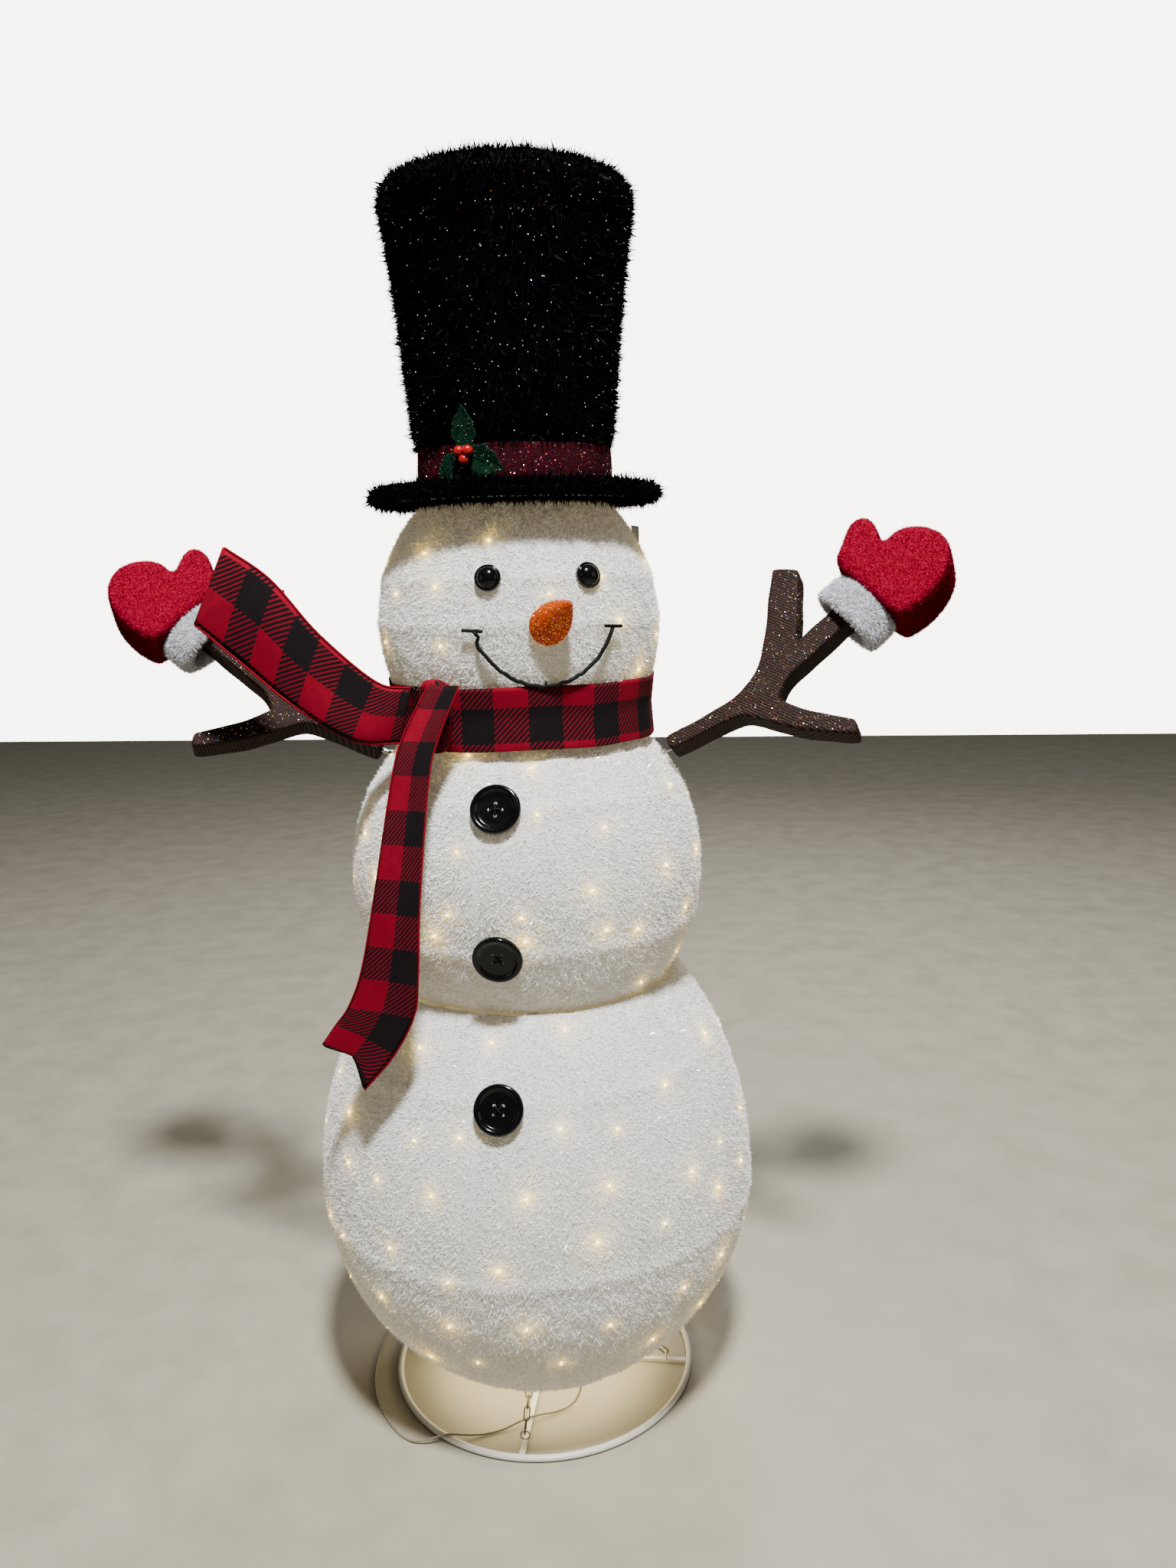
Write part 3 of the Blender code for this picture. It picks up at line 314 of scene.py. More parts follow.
def bark():
    """Dark brown mesh: fine diagonal ribs, broken up by small cells."""
    material, tree, shader = principled("bark_cloth", (0.03, 0.018, 0.014), 0.7, Specular_IOR_Level=0.1)
    rows = texture(tree, "ShaderNodeTexWave", wave_type="BANDS", bands_direction="DIAGONAL",
                   Scale=95.0, Distortion=0.8)
    cells = texture(tree, "ShaderNodeTexVoronoi", feature="F1", Scale=700.0)
    both = math_node(tree, "MULTIPLY", rows.outputs["Fac"], cells.outputs["Distance"])
    tint = ramp(tree, both, (0.002, 0.0011, 0.0008), (0.036, 0.018, 0.012), 0.08, 0.5)
    tree.links.new(tint, shader.inputs["Base Color"])
    bump(tree, shader, both, 0.5, 0.001)
    return material


# Tinsel fibres. The bright and soft ones carry a faint warm emission: painted glow that lifts their shaded
# sides to beige. The lit and hot ones, put round the bulbs, are painted light from the bulbs.
WHITE_PILE = [
    constant("tinsel_bright_warm_glow", (0.9, 0.9, 0.91), 0.42, Emission_Color=(1.0, 0.8, 0.42, 1.0),
             Emission_Strength=0.095, Specular_IOR_Level=0.5),
    constant("tinsel_soft_warm_glow", (0.72, 0.72, 0.71), 0.7, Emission_Color=(1.0, 0.78, 0.38, 1.0),
             Emission_Strength=0.1, Specular_IOR_Level=0.3),
    constant("tinsel_glint", (0.95, 0.96, 1.0), 0.3, 0.3),
    constant("tinsel_lit", (0.95, 0.88, 0.62), 0.6, Emission_Color=(1.0, 0.6, 0.08, 1.0),
             Emission_Strength=0.85),
    constant("tinsel_hot", (1.0, 0.93, 0.7), 0.5, Emission_Color=(1.0, 0.66, 0.12, 1.0),
             Emission_Strength=2.2),
]
BLACK_PILE = [
    constant("hat_matt", (0.001, 0.0012, 0.0014), 0.9, Specular_IOR_Level=0.0),
    constant("hat_sheen", (0.003, 0.0034, 0.0036), 0.7, Specular_IOR_Level=0.06),
]
RED_PILE = [
    constant("mitten_bright", (0.5, 0.0, 0.05), 0.8, Specular_IOR_Level=0.1),
    constant("mitten_deep", (0.19, 0.0, 0.01), 0.9, Specular_IOR_Level=0.05),
    constant("mitten_tip", (0.65, 0.02, 0.08), 0.5, Specular_IOR_Level=0.4),
    # Darkest red, given mostly to the side faces: painted shade.
    constant("mitten_side_shaded", (0.1, 0.0, 0.005), 0.9, Specular_IOR_Level=0.05),
]
CUFF_PILE = [
    constant("cuff_bright", (0.74, 0.74, 0.78), 0.55),
    constant("cuff_grey", (0.52, 0.53, 0.57), 0.7),
    constant("cuff_dark", (0.25, 0.25, 0.28), 0.8),
]
GLITTER = [
    constant("glitter_red", (0.85, 0.006, 0.05), 0.16, 0.95),
    constant("glitter_magenta", (0.75, 0.05, 0.55), 0.18, 0.9),
    constant("glitter_green", (0.1, 0.65, 0.25), 0.18, 0.9),
    constant("glitter_gold", (0.95, 0.62, 0.15), 0.18, 0.9),
    # The silver flakes carry a faint white emission: a painted glint.
    constant("glitter_silver_glinting", (0.85, 0.87, 0.9), 0.25, 0.5, Emission_Color=(1.0, 1.0, 1.0, 1.0),
             Emission_Strength=0.3),
    constant("glitter_blue", (0.15, 0.35, 0.9), 0.18, 0.9),
    constant("glitter_orange", (1.0, 0.33, 0.03), 0.22, 0.8),
    constant("glitter_brown", (0.17, 0.085, 0.06), 0.35, 0.6),
]


# ---------------------------------------------------------------- mesh helpers

def link(name, mesh, *materials):
    """A smooth-shaded object for a mesh, with its materials."""
    for material in materials:
        mesh.materials.append(material)
    mesh.polygons.foreach_set("use_smooth", np.ones(len(mesh.polygons), bool))
    return placed(name, mesh)


def grid(name, points, materials, wrap_u=False, wrap_v=False, uv=None):
    """A quad surface through points[u][v]; uv is an array of the same shape for the plaid."""
    nu, nv = points.shape[:2]
    mesh = bpy.data.meshes.new(name)
    cells_u, cells_v = nu - (not wrap_u), nv - (not wrap_v)
    u, v = np.meshgrid(np.arange(cells_u), np.arange(cells_v), indexing="ij")
    corners = [(u, v), (u + 1, v), (u + 1, v + 1), (u, v + 1)]
    faces = np.stack([(a % nu) * nv + (b % nv) for a, b in corners], -1).reshape(-1, 4)
    mesh.from_pydata(points.reshape(-1, 3).tolist(), [], faces.tolist())
    if uv is not None:
        layer = mesh.uv_layers.new(name="plaid")
        last_u, last_v = uv.shape[0] - 1, uv.shape[1] - 1
        spots = np.stack([uv[np.minimum(a, last_u), np.minimum(b, last_v)] for a, b in corners], 2)
        layer.data.foreach_set("uv", spots.reshape(-1, 2).ravel())
    return link(name, mesh, *materials)


def outward(thing):
    """Turns the faces of a closed mesh outwards."""
    work = bmesh.new()
    work.from_mesh(thing.data)
    bmesh.ops.remove_doubles(work, verts=work.verts, dist=1e-6)
    bmesh.ops.recalc_face_normals(work, faces=work.faces)
    work.to_mesh(thing.data)
    work.free()
    return thing


def evaluated(thing):
    """A new mesh of an object with its modifiers and curve settings applied."""
    return bpy.data.meshes.new_from_object(thing.evaluated_get(bpy.context.evaluated_depsgraph_get()))


def apply_all(thing):
    """Applies a mesh object's modifiers."""
    mesh = evaluated(thing)
    thing.modifiers.clear()
    thing.data = mesh
    return thing


def full_turn(count):
    """Angles of a whole turn, evenly spaced, in radians."""
    return np.linspace(0, math.tau, count, endpoint=False)


def polar(angle, radius, z):
    """Points at an angle in radians, a radius and a height."""
    return np.stack(np.broadcast_arrays(radius * np.cos(angle), radius * np.sin(angle), z), -1)


def lathe(name, profile, materials, segments=96, matrix=None, closed=True):
    """A turned piece from (radius, height) points; a closed profile makes a ring."""
    shape = np.array(profile, float)
    points = polar(full_turn(segments)[:, None], shape[:, 0], shape[:, 1])
    thing = outward(grid(name, points, materials, wrap_u=True, wrap_v=closed))
    if matrix is not None:
        thing.data.transform(matrix)
    return thing


def rounded(profile, cuts=2, closed=False):
    """Corner cutting: each pass softens the corners of a polyline."""
    shape = [Vector(p) for p in profile]
    for _ in range(cuts):
        pairs = list(zip(shape, shape[1:] + shape[:1])) if closed else list(zip(shape, shape[1:]))
        cut = [q for a, b in pairs for q in (a.lerp(b, 0.25), a.lerp(b, 0.75))]
        shape = cut if closed else [shape[0]] + cut + [shape[-1]]
    return [tuple(p) for p in shape]


def softened(outline, cuts, sharp, chamfer=0.0045):
    """Corner cutting of a closed outline that keeps sharp corners near their place."""
    shape = [Vector(p) for p in outline]
    start = []
    for before, here, after in zip(shape[-1:] + shape[:-1], shape, shape[1:] + shape[:1]):
        if (here - before).angle(after - here) > math.radians(sharp):
            start += [here + (end - here).normalized() * chamfer for end in (before, after)]
        else:
            start.append(here)
    return rounded(start, cuts, closed=True)


def smooth_path(points, per_span):
    """Catmull-Rom curve through the points."""
    points = [Vector(p) for p in points]
    ends = [points[0] * 2 - points[1]] + points + [points[-1] * 2 - points[-2]]
    path = []
    for i in range(1, len(ends) - 2):
        a, b, c, d = ends[i - 1:i + 3]
        for k in range(per_span):
            t = k / per_span
            path.append(0.5 * ((2 * b) + (c - a) * t + (2 * a - 5 * b + 4 * c - d) * t * t
                               + (3 * b - a - 3 * c + d) * t * t * t))
    path.append(points[-1])
    return path


def tube(name, path, radius, materials, sides=10, cyclic=False, taper=None):
    """A closed tube mesh along a path; taper gives the radius share at each point."""
    path = np.array([tuple(p) for p in path], float)
    count = len(path)
    if cyclic:
        along = np.roll(path, -1, 0) - np.roll(path, 1, 0)
    else:
        along = np.gradient(path, axis=0)
    along /= np.linalg.norm(along, axis=1)[:, None]
    side = np.cross(along[0], (0.0, 0.0, 1.0) if abs(along[0][2]) < 0.9 else (1.0, 0.0, 0.0))
    rings = []
    angle = full_turn(sides)
    for k in range(count):
        side = side - along[k] * np.dot(side, along[k])
        side /= np.linalg.norm(side)
        other = np.cross(along[k], side)
        size = radius * (1.0 if taper is None else taper[k])
        rings.append(path[k] + size * (np.outer(np.cos(angle), side) + np.outer(np.sin(angle), other)))
    if not cyclic:
        rings = [np.tile(path[0], (sides, 1))] + rings + [np.tile(path[-1], (sides, 1))]
    return outward(grid(name, np.array(rings), materials, wrap_u=cyclic, wrap_v=True))


def join(name, *things):
    """One object out of several, with their materials kept."""
    work = things[0]
    with bpy.context.temp_override(active_object=work, selected_editable_objects=list(things)):
        bpy.ops.object.join()
    work.name = name
    work.data.name = name
    return work


def triangles(name, corners, slots, materials):
    """A mesh of loose triangles: corners is (n, 3, 3), slots the material of each."""
    count = len(corners)
    mesh = bpy.data.meshes.new(name)
    mesh.vertices.add(count * 3)
    mesh.vertices.foreach_set("co", corners.astype(np.float32).ravel())
    mesh.loops.add(count * 3)
    mesh.loops.foreach_set("vertex_index", np.arange(count * 3, dtype=np.int32))
    mesh.polygons.add(count)
    mesh.polygons.foreach_set("loop_start", np.arange(0, count * 3, 3, dtype=np.int32))
    for material in materials:
        mesh.materials.append(material)
    mesh.polygons.foreach_set("material_index", slots.astype(np.int32))
    mesh.update(calc_edges=True)
    return placed(name, mesh)


def unit(vectors):
    return vectors / np.maximum(np.linalg.norm(vectors, axis=1), 1e-9)[:, None]


def pile(name, roots, normals, length, width, tilt, slots, materials, rows=None, spread=math.pi, droop=0.0):
    """Short fibres: one thin triangle each, leaning from the normal by tilt, mostly along the rows."""
    count = len(roots)
    reference = np.tile((0.0, 0.0, 1.0), (count, 1)) if rows is None else rows
    first = unit(np.cross(reference, normals) + 1e-6)
    second = np.cross(normals, first)
    heading = RNG.uniform(-spread, spread, count) + math.pi * RNG.integers(0, 2, count)
    lean = np.clip(RNG.normal(tilt, 0.28, count), 0.05, 1.45)
    flat = np.cos(heading)[:, None] * first + np.sin(heading)[:, None] * second
    pointing = unit(np.cos(lean)[:, None] * normals + np.sin(lean)[:, None] * flat + np.array((0, 0, -droop)))
    across = unit(np.cross(pointing, normals) + 1e-6)
    roll = RNG.uniform(-0.9, 0.9, count)[:, None]
    across = unit(np.cos(roll) * across + np.sin(roll) * np.cross(pointing, across))
    wide = (width * RNG.uniform(0.6, 1.4, count))[:, None] / 2
    long = (length * RNG.uniform(0.55, 1.25, count))[:, None]
    base = roots - normals * 0.0006
    corners = np.stack([base - across * wide, base + across * wide, base + pointing * long], 1)
    return triangles(name, corners, slots, materials)


def vertex_values(mesh, key):
    """A vector of every vertex, "co" or "normal", as an (n, 3) array."""
    values = np.zeros(len(mesh.vertices) * 3)
    mesh.vertices.foreach_get(key, values)
    return values.reshape(-1, 3)


def scatter(thing, count):
    """Points and normals spread evenly over a mesh, in its own coordinates."""
    mesh = thing.data
    mesh.calc_loop_triangles()
    co = vertex_values(mesh, "co")
    tri = np.zeros(len(mesh.loop_triangles) * 3, np.int32)
    mesh.loop_triangles.foreach_get("vertices", tri)
    a, b, c = (co[tri.reshape(-1, 3)[:, k]] for k in range(3))
    normal = np.cross(b - a, c - a)
    area = np.linalg.norm(normal, axis=1)
    pick = RNG.choice(len(area), count, p=area / area.sum())
    s, t = RNG.random((2, count, 1))
    fold = s + t > 1
    s, t = np.where(fold, 1 - s, s), np.where(fold, 1 - t, t)
    return a[pick] + s * (b - a)[pick] + t * (c - a)[pick], unit(normal[pick])


def by_chance(chance, first, second):
    """Material slots 0, 1 and 2 for random numbers below first, below second and above."""
    return np.select([chance < first, chance < second], [0, 1], 2)


def outer_side(points, normals, least):
    """Which points of a round piece face away from its axis."""
    return normals[:, 0] * points[:, 0] + normals[:, 1] * points[:, 1] > least


def specks(name, thing, count, size, weights, lift=0.0004, keep=None):
    """Glitter: tiny flat flakes that face almost anywhere, in the GLITTER colours by weight."""
    points, normals = scatter(thing, count)
    if keep is not None:
        chosen = keep(points, normals)
        points, normals = points[chosen], normals[chosen]
    count = len(points)
    face = unit(normals + RNG.normal(0, 0.55, (count, 3)))
    first = unit(np.cross(face, RNG.normal(0, 1, (count, 3))))
    second = np.cross(face, first)
    centre = points + normals * (lift + size * 0.3)
    third = 2.0944
    corners = np.stack([centre + size * (math.cos(k * third) * first + math.sin(k * third) * second)
                        for k in range(3)], 1)
    share = np.array(weights, float)
    return triangles(name, corners, RNG.choice(len(GLITTER), count, p=share / share.sum()), GLITTER)


def ride(thing, body, slot, *nodes):
    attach(thing, body)
    if nodes:
        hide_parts(*nodes)
    return thing


def cloth(thing, slot, *nodes):
    """Rides on the base, with a mesh of its own."""
    ride(thing, "base", slot, *nodes)
    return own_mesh(thing)


# ---------------------------------------------------------------- the balls

def ball_radius(ball, z):
    """Radius of a ball's fabric at a height (number or array)."""
    rise = np.asarray(z, float) - ball["z"]
    half = np.where(rise >= 0, ball["up"], ball["down"])
    return ball["r"] * np.sqrt(np.maximum(1.0 - (rise / half) ** 2, 0.0))


def around(azimuth):
    """Unit vectors level with the floor at azimuths."""
    angle = np.radians(azimuth)
    return np.stack([np.sin(angle), -np.cos(angle), np.zeros_like(angle)], -1)


def level_ring(azimuth, radius, z):
    """Points at azimuths, a radius and a height (numbers or arrays)."""
    azimuth, radius, z = np.broadcast_arrays(azimuth, radius, z)
    return around(azimuth) * radius[..., None] + np.stack([0 * z, 0 * z, z], -1)


HOOPS = (0.345, 0.587, 0.788, 0.982, 1.225, 1.287)


def cloth_surface(ball, azimuth, z):
    """Points and outward normals on a ball's fabric: hoop ridges, tension folds at its ends, a front seam."""
    azimuth, z = np.broadcast_arrays(np.asarray(azimuth, float), np.asarray(z, float))

    def place(azimuth, z):
        angle = np.radians(azimuth)
        ridge = sum(0.0022 * np.exp(-((z - hoop) / 0.01) ** 2) for hoop in HOOPS)
        near_top = np.exp(-np.maximum(ball["top"] - z, 0) / 0.03)
        near_low = np.exp(-np.maximum(z - ball["bottom"], 0) / 0.034)
        coarse = np.sin(17 * angle + 1.3 * np.sin(5 * angle))
        folds = coarse + 0.6 * np.sin(29 * angle + 2.0 * np.sin(3 * angle + 1))
        swell = 0.0012 * np.sin(3 * angle + 9 * z) + 0.001 * np.sin(5 * angle - 14 * z + 2)
        seam = -0.0022 * np.exp(-((azimuth + 6.0) / 0.9) ** 2)
        lift = ridge + 0.0019 * folds * (near_top + near_low) + swell + seam
        return level_ring(azimuth, ball_radius(ball, z) + lift - 0.0015, z)

    step = 0.4
    here = place(azimuth, z)
    side = place(azimuth + step, z) - place(azimuth - step, z)
    rise = place(azimuth, z + 0.0015) - place(azimuth, z - 0.0015)
    normal = np.cross(side, rise)
    return here, normal / np.maximum(np.linalg.norm(normal, axis=-1), 1e-12)[..., None]


def spread_on(ball, count, low=None, high=None):
    """Even random azimuths and heights over a ball."""
    low = ball["bottom"] if low is None else low
    high = ball["top"] if high is None else high
    grid_z = np.linspace(low + 0.0005, high - 0.0005, 400)
    radius = ball_radius(ball, grid_z)
    slope = np.gradient(radius, grid_z)
    weight = np.cumsum(radius * np.sqrt(1 + slope ** 2))
    z = np.interp(RNG.random(count) * weight[-1], weight, grid_z)
    return RNG.uniform(-180, 180, count), z


def bulb_spots(ball, turns, low, high, gap):
    """Bulbs along the string that winds up a ball, a little out of line as they were pushed in."""
    count = 4000
    share = np.linspace(0, 1, count)
    azimuth = 360 * turns * share + 40
    z = low + (high - low) * share + 0.012 * np.sin(7 * math.tau * share * turns / 5)
    points, _ = cloth_surface(ball, azimuth, z)
    walked = np.concatenate([[0], np.cumsum(np.linalg.norm(np.diff(points, axis=0), axis=1))])
    stops = np.arange(gap / 2, walked[-1], gap)
    stops = stops + RNG.uniform(-0.3, 0.3, len(stops)) * gap
    return (np.interp(stops, walked, azimuth) + RNG.uniform(-2.0, 2.0, len(stops)),
            np.interp(stops, walked, z) + RNG.uniform(-0.02, 0.02, len(stops)), azimuth, z)


def glow_at(points, bulbs, core, halo):
    """How strongly the nearest bulbs light a point through the fabric, 0 to 1."""
    nearest = np.full(len(points), 9.0)
    for bulb, size in bulbs:
        nearest = np.minimum(nearest, np.linalg.norm(points - bulb, axis=1) / size)
    return np.clip(np.exp(-(nearest / core) ** 2) + 0.35 * np.exp(-(nearest / halo) ** 2), 0, 1), nearest


def make_skin(name, ball, bulbs, extra_rows):
    """The backing cloth; an extra row is (radius, height, whether it goes above the others)."""
    rows = np.linspace(ball["bottom"], ball["top"], max(40, int((ball["top"] - ball["bottom"]) / 0.006)))
    turn = np.linspace(0, 360, 288, endpoint=False)
    points, _ = cloth_surface(ball, turn[:, None], rows[None, :])
    for radius, height, above in extra_rows:
        ring = level_ring(turn, radius, height)[:, None, :]
        points = np.concatenate([points, ring] if above else [ring, points], 1)
    skin = grid("fabric_" + name, points, [WHITE_BACKING], wrap_u=True)
    strength, _ = glow_at(points.reshape(-1, 3), bulbs, core=0.009, halo=0.026)
    layer = skin.data.attributes.new("glow", "FLOAT", "POINT")
    layer.data.foreach_set("value", strength.astype(np.float32))
    cloth(skin, "tinsel_white", "skin_" + name)


def make_pile(name, ball, bulbs, count):
    """The tinsel of a ball, in clumps, with lit fibres near the bulbs."""
    azimuth, z = spread_on(ball, count)
    roots, normals = cloth_surface(ball, azimuth, z)
    strength, near = glow_at(roots, bulbs, core=0.0075, halo=0.023)
    slots = by_chance(RNG.random(len(roots)), 0.55, 0.94)
    slots = np.where(RNG.random(len(roots)) < strength * 0.85, 3, slots)
    slots = np.where((near < 0.0048) & (RNG.random(len(roots)) < 0.8), 4, slots)
    broad = np.sin(azimuth * 0.9 + 40 * z + np.sin(azimuth * 0.23))
    clump = 0.5 + 0.5 * broad * np.sin(azimuth * 0.35 - 95 * z)
    fuzz = pile(name, roots, normals, 0.0072 * (0.75 + 0.4 * clump), 0.0013, 1.0, slots, WHITE_PILE,
                spread=1.0, droop=0.12)
    cloth(fuzz, "tinsel_white")


BULB_PROFILE = [(0.0, 0.0042), (0.0009, 0.0038), (0.0015, 0.0026), (0.0017, 0.0), (0.0017, -0.01),
                (0.0, -0.011)]


def make_ball(name, ball, fibres, turns, low, high, gap, string_points, extra_rows=()):
    """Backing cloth, pile, light string and bulbs of one ball; fibres is (number in a piece, pieces)."""
    azimuths, heights, run_azimuth, run_z = bulb_spots(ball, turns, low, high, gap)
    spots, out = cloth_surface(ball, azimuths, heights)
    bulbs = list(zip(spots, RNG.uniform(0.55, 1.35, len(spots))))
    make_skin(name, ball, bulbs, extra_rows)
    for part in range(fibres[1]):
        make_pile(f"pile_{name}_{part}", ball, bulbs, fibres[0])

    inside = np.linspace(0, len(run_z) - 1, string_points).astype(int)
    line, normal = cloth_surface(ball, run_azimuth[inside], run_z[inside])
    wire = tube("lights_" + name, line - normal * 0.016, 0.0011, [STRING_CLEAR], sides=6)
    cloth(wire, "cord_clear", "light_string_" + name)
    lamps = []
    for k in range(len(spots)):
        turn_to = Vector(out[k]).to_track_quat("Z", "Y").to_matrix().to_4x4()
        where = Matrix.Translation(Vector(spots[k]) + Vector(out[k]) * 0.0002) @ turn_to
        lamps.append(lathe(f"bulb_{k}", BULB_PROFILE, [BULB], segments=8, matrix=where, closed=False))
    cloth(join("bulbs_" + name, *lamps), "cord_clear")


# ---------------------------------------------------------------- face and buttons

def surface_matrix(ball, azimuth, z, lift=0.0):
    """Frame on a ball's plain surface: local Z outwards, local X to the right, local Y up."""
    rise = z - ball["z"]
    half = ball["up"] if rise >= 0 else ball["down"]
    normal = Vector((float(ball_radius(ball, z)) / ball["r"] ** 2, rise / half ** 2)).normalized()
    radial = Vector(around(azimuth))
    out = radial * normal[0] + Vector((0, 0, normal[1]))
    right = Vector(around(azimuth + 90.0))
    turn = Matrix((right, out.cross(right), out)).transposed().to_4x4()
    place = radial * (float(ball_radius(ball, z)) + normal[0] * lift) + Vector((0, 0, z + normal[1] * lift))
    return Matrix.Translation(place) @ turn


EYE_GROWTH = 1.11
NOSE_RADIUS = 0.0266
NOSE_LENGTH = 0.049
BUTTON_RADIUS = 0.0345


def make_eyes():
    dome = [(0.0, 0.0115), (0.0035, 0.0112), (0.0068, 0.0101), (0.0098, 0.0082), (0.0119, 0.0058),
            (0.013, 0.0034), (0.0138, 0.003), (0.0155, 0.0029), (0.016, 0.0018), (0.016, -0.004),
            (0.0, -0.004)]
    dome = [(radius * EYE_GROWTH, height) for radius, height in dome]
    for name, side in (("left", -1), ("right", 1)):
        matrix = surface_matrix(HEAD, FACE + side * 19.8, 1.287, 0.004)
        eye = lathe("dome_eye_" + name, rounded(dome, 1), [GLOSS_BLACK], 48, matrix, closed=False)
        ride(eye, "head_upper", "gloss_black", "eye_" + name)


def make_nose():
    """A stuffed carrot of cloth that leans to its right and upwards, with glitter."""
    shape = [(0.0, 1.03), (0.08, 1.02), (0.18, 0.965), (0.33, 0.84), (0.56, 0.64), (0.79, 0.43), (0.95, 0.22),
             (1.0, 0.08), (0.97, 0.0), (0.0, 0.0)]
    profile = [(radius * NOSE_RADIUS, height * NOSE_LENGTH) for radius, height in rounded(shape, 2)]
    nose = lathe("carrot_nose", profile, [CARROT], 64, closed=False)
    lean = Matrix.Identity(4)
    lean[0][2], lean[1][2] = 0.019 / 0.048, 0.029 / 0.048
    nose.data.transform(surface_matrix(HEAD, FACE + 2.0, 1.223, 0.0035) @ lean)
    ride(nose, "head_belly", "carrot", "nose")
    flakes = specks("nose_glitter", nose, 3200, 0.0008, (2.2, 1.0, 0.1, 1.6, 0.1, 0.1, 10, 0))
    ride(flakes, "head_belly", "carrot")


def make_mouth():
    """One bent wire with a tick at each corner and a short one in the middle."""
    middle, spread, low, high, depth = FACE + 1.0, 26.5, 1.146, 1.221, 0.93
    share = np.linspace(-1, 1, 65)
    height = low + (high - low) * (1 - np.sqrt(1 - depth * share ** 2)) / (1 - math.sqrt(1 - depth))
    wobble = 0.0006 * np.sin(share * 31) + 0.0004 * np.sin(share * 53 + 1)
    line, normal = cloth_surface(HEAD, middle + spread * share, height + wobble)
    pieces = [tube("smile", line + normal * 0.0084, 0.0027, [CORD_BLACK], sides=10)]
    for side in (-1, 1):
        tick, out = cloth_surface(HEAD, middle + spread * side + np.linspace(-3.8, 3.8, 9),
                                  high + 0.0006 * np.cos(np.linspace(0, 3, 9)))
        pieces.append(tube(f"tick_{side}", tick + out * 0.0087, 0.0024, [CORD_BLACK], sides=8))
    tick, out = cloth_surface(HEAD, middle + np.array((0.0, 0.15, 0.3)), np.array((1.144, 1.148, 1.152)))
    pieces.append(tube("tick_middle", tick + out * 0.009, 0.0016, [CORD_BLACK], sides=8))
    cloth(join("smile", *pieces), "gloss_black", "mouth")


def thread_path(start, end, offset, lift):
    """A thread between two holes, beside the line that joins them, up through one and down the other."""
    side = (end - start).cross(Vector((0, 0, 1))).normalized() * offset
    below = Vector((0, 0, -0.001))
    path = [start + side + below]
    for k in range(9):
        share = k / 8
        bow = math.sin(math.pi * min(max((share - 0.02) / 0.96, 0), 1)) ** 0.5
        path.append(start.lerp(end, 0.03 + 0.94 * share) + side + Vector((0, 0, 0.0049 + lift * bow)))
    path.append(end + side + below)
    return path


def make_button(name, body, ball, height, turn):
    """A dished button with four holes, white cloth in the holes and crossed double threads."""
    profile = [(0.0, 0.0046), (0.66, 0.0046), (0.72, 0.0052), (0.77, 0.0072), (0.83, 0.0085), (0.9, 0.0088),
               (0.97, 0.0078), (1.0, 0.0055), (1.0, 0.002), (0.96, 0.0), (0.0, 0.0)]
    profile = [(BUTTON_RADIUS * radius, height_at) for radius, height_at in profile]
    matrix = surface_matrix(ball, 0.0, height, 0.0045)
    button = lathe("coat_button_" + name, rounded(profile, 1), [GLOSS_BLACK], 72, closed=False)
    angles = [math.radians(45 + turn + 90 * k) for k in range(4)]
    spots = [Vector((math.cos(angle), math.sin(angle), 0)) * 0.0085 for angle in angles]
    dot = [(0.0, 0.0032), (0.0024, 0.0031), (0.0026, 0.001), (0.0, 0.001)]
    dots = []
    for k, spot in enumerate(spots):
        dots.append(lathe(f"dot_{k}", dot, [LABEL], 16, Matrix.Translation(spot), closed=False))
        bpy.ops.mesh.primitive_cylinder_add(vertices=20, radius=0.0027, depth=0.03, location=spot)
        hole = bpy.context.object
        cut = button.modifiers.new("hole", "BOOLEAN")
        cut.object, cut.solver = hole, "EXACT"
        apply_all(button)
        bpy.data.objects.remove(hole, do_unlink=True)
    button.data.polygons.foreach_set("use_smooth", np.ones(len(button.data.polygons), bool))
    button.data.set_sharp_from_angle(angle=math.radians(40))
    threads = []
    for first, second, lift in ((0, 2, 0.0011), (1, 3, 0.0024)):
        for offset in (-0.0007, 0.0007):
            path = thread_path(spots[first], spots[second], offset, lift)
            threads.append(tube("thread", path, 0.0007, [CORD_BLACK], sides=6))
    through = join("button_holes_" + name, *dots)
    stitched = join("button_thread_" + name, *threads)
    for thing in (button, through, stitched):
        thing.data.transform(matrix)
    ride(button, body, "gloss_black", "button_" + name)
    ride(through, body, "tinsel_white")
    ride(stitched, body, "gloss_black")


def make_buttons():
    make_button("upper", "chest", MIDDLE, 0.982, 45)
    make_button("middle", "middle_belly", MIDDLE, 0.788, 0)
    make_button("lower", "lower_shoulder", LOWER, 0.583, 0)


# ---------------------------------------------------------------- scarf

SQUARE = 0.0465
CLOTH_THICK = 0.0032


def uv_grid(across, along):
    """Plaid coordinates from two arrays that broadcast."""
    return np.stack(np.broadcast_arrays(across, along), -1)


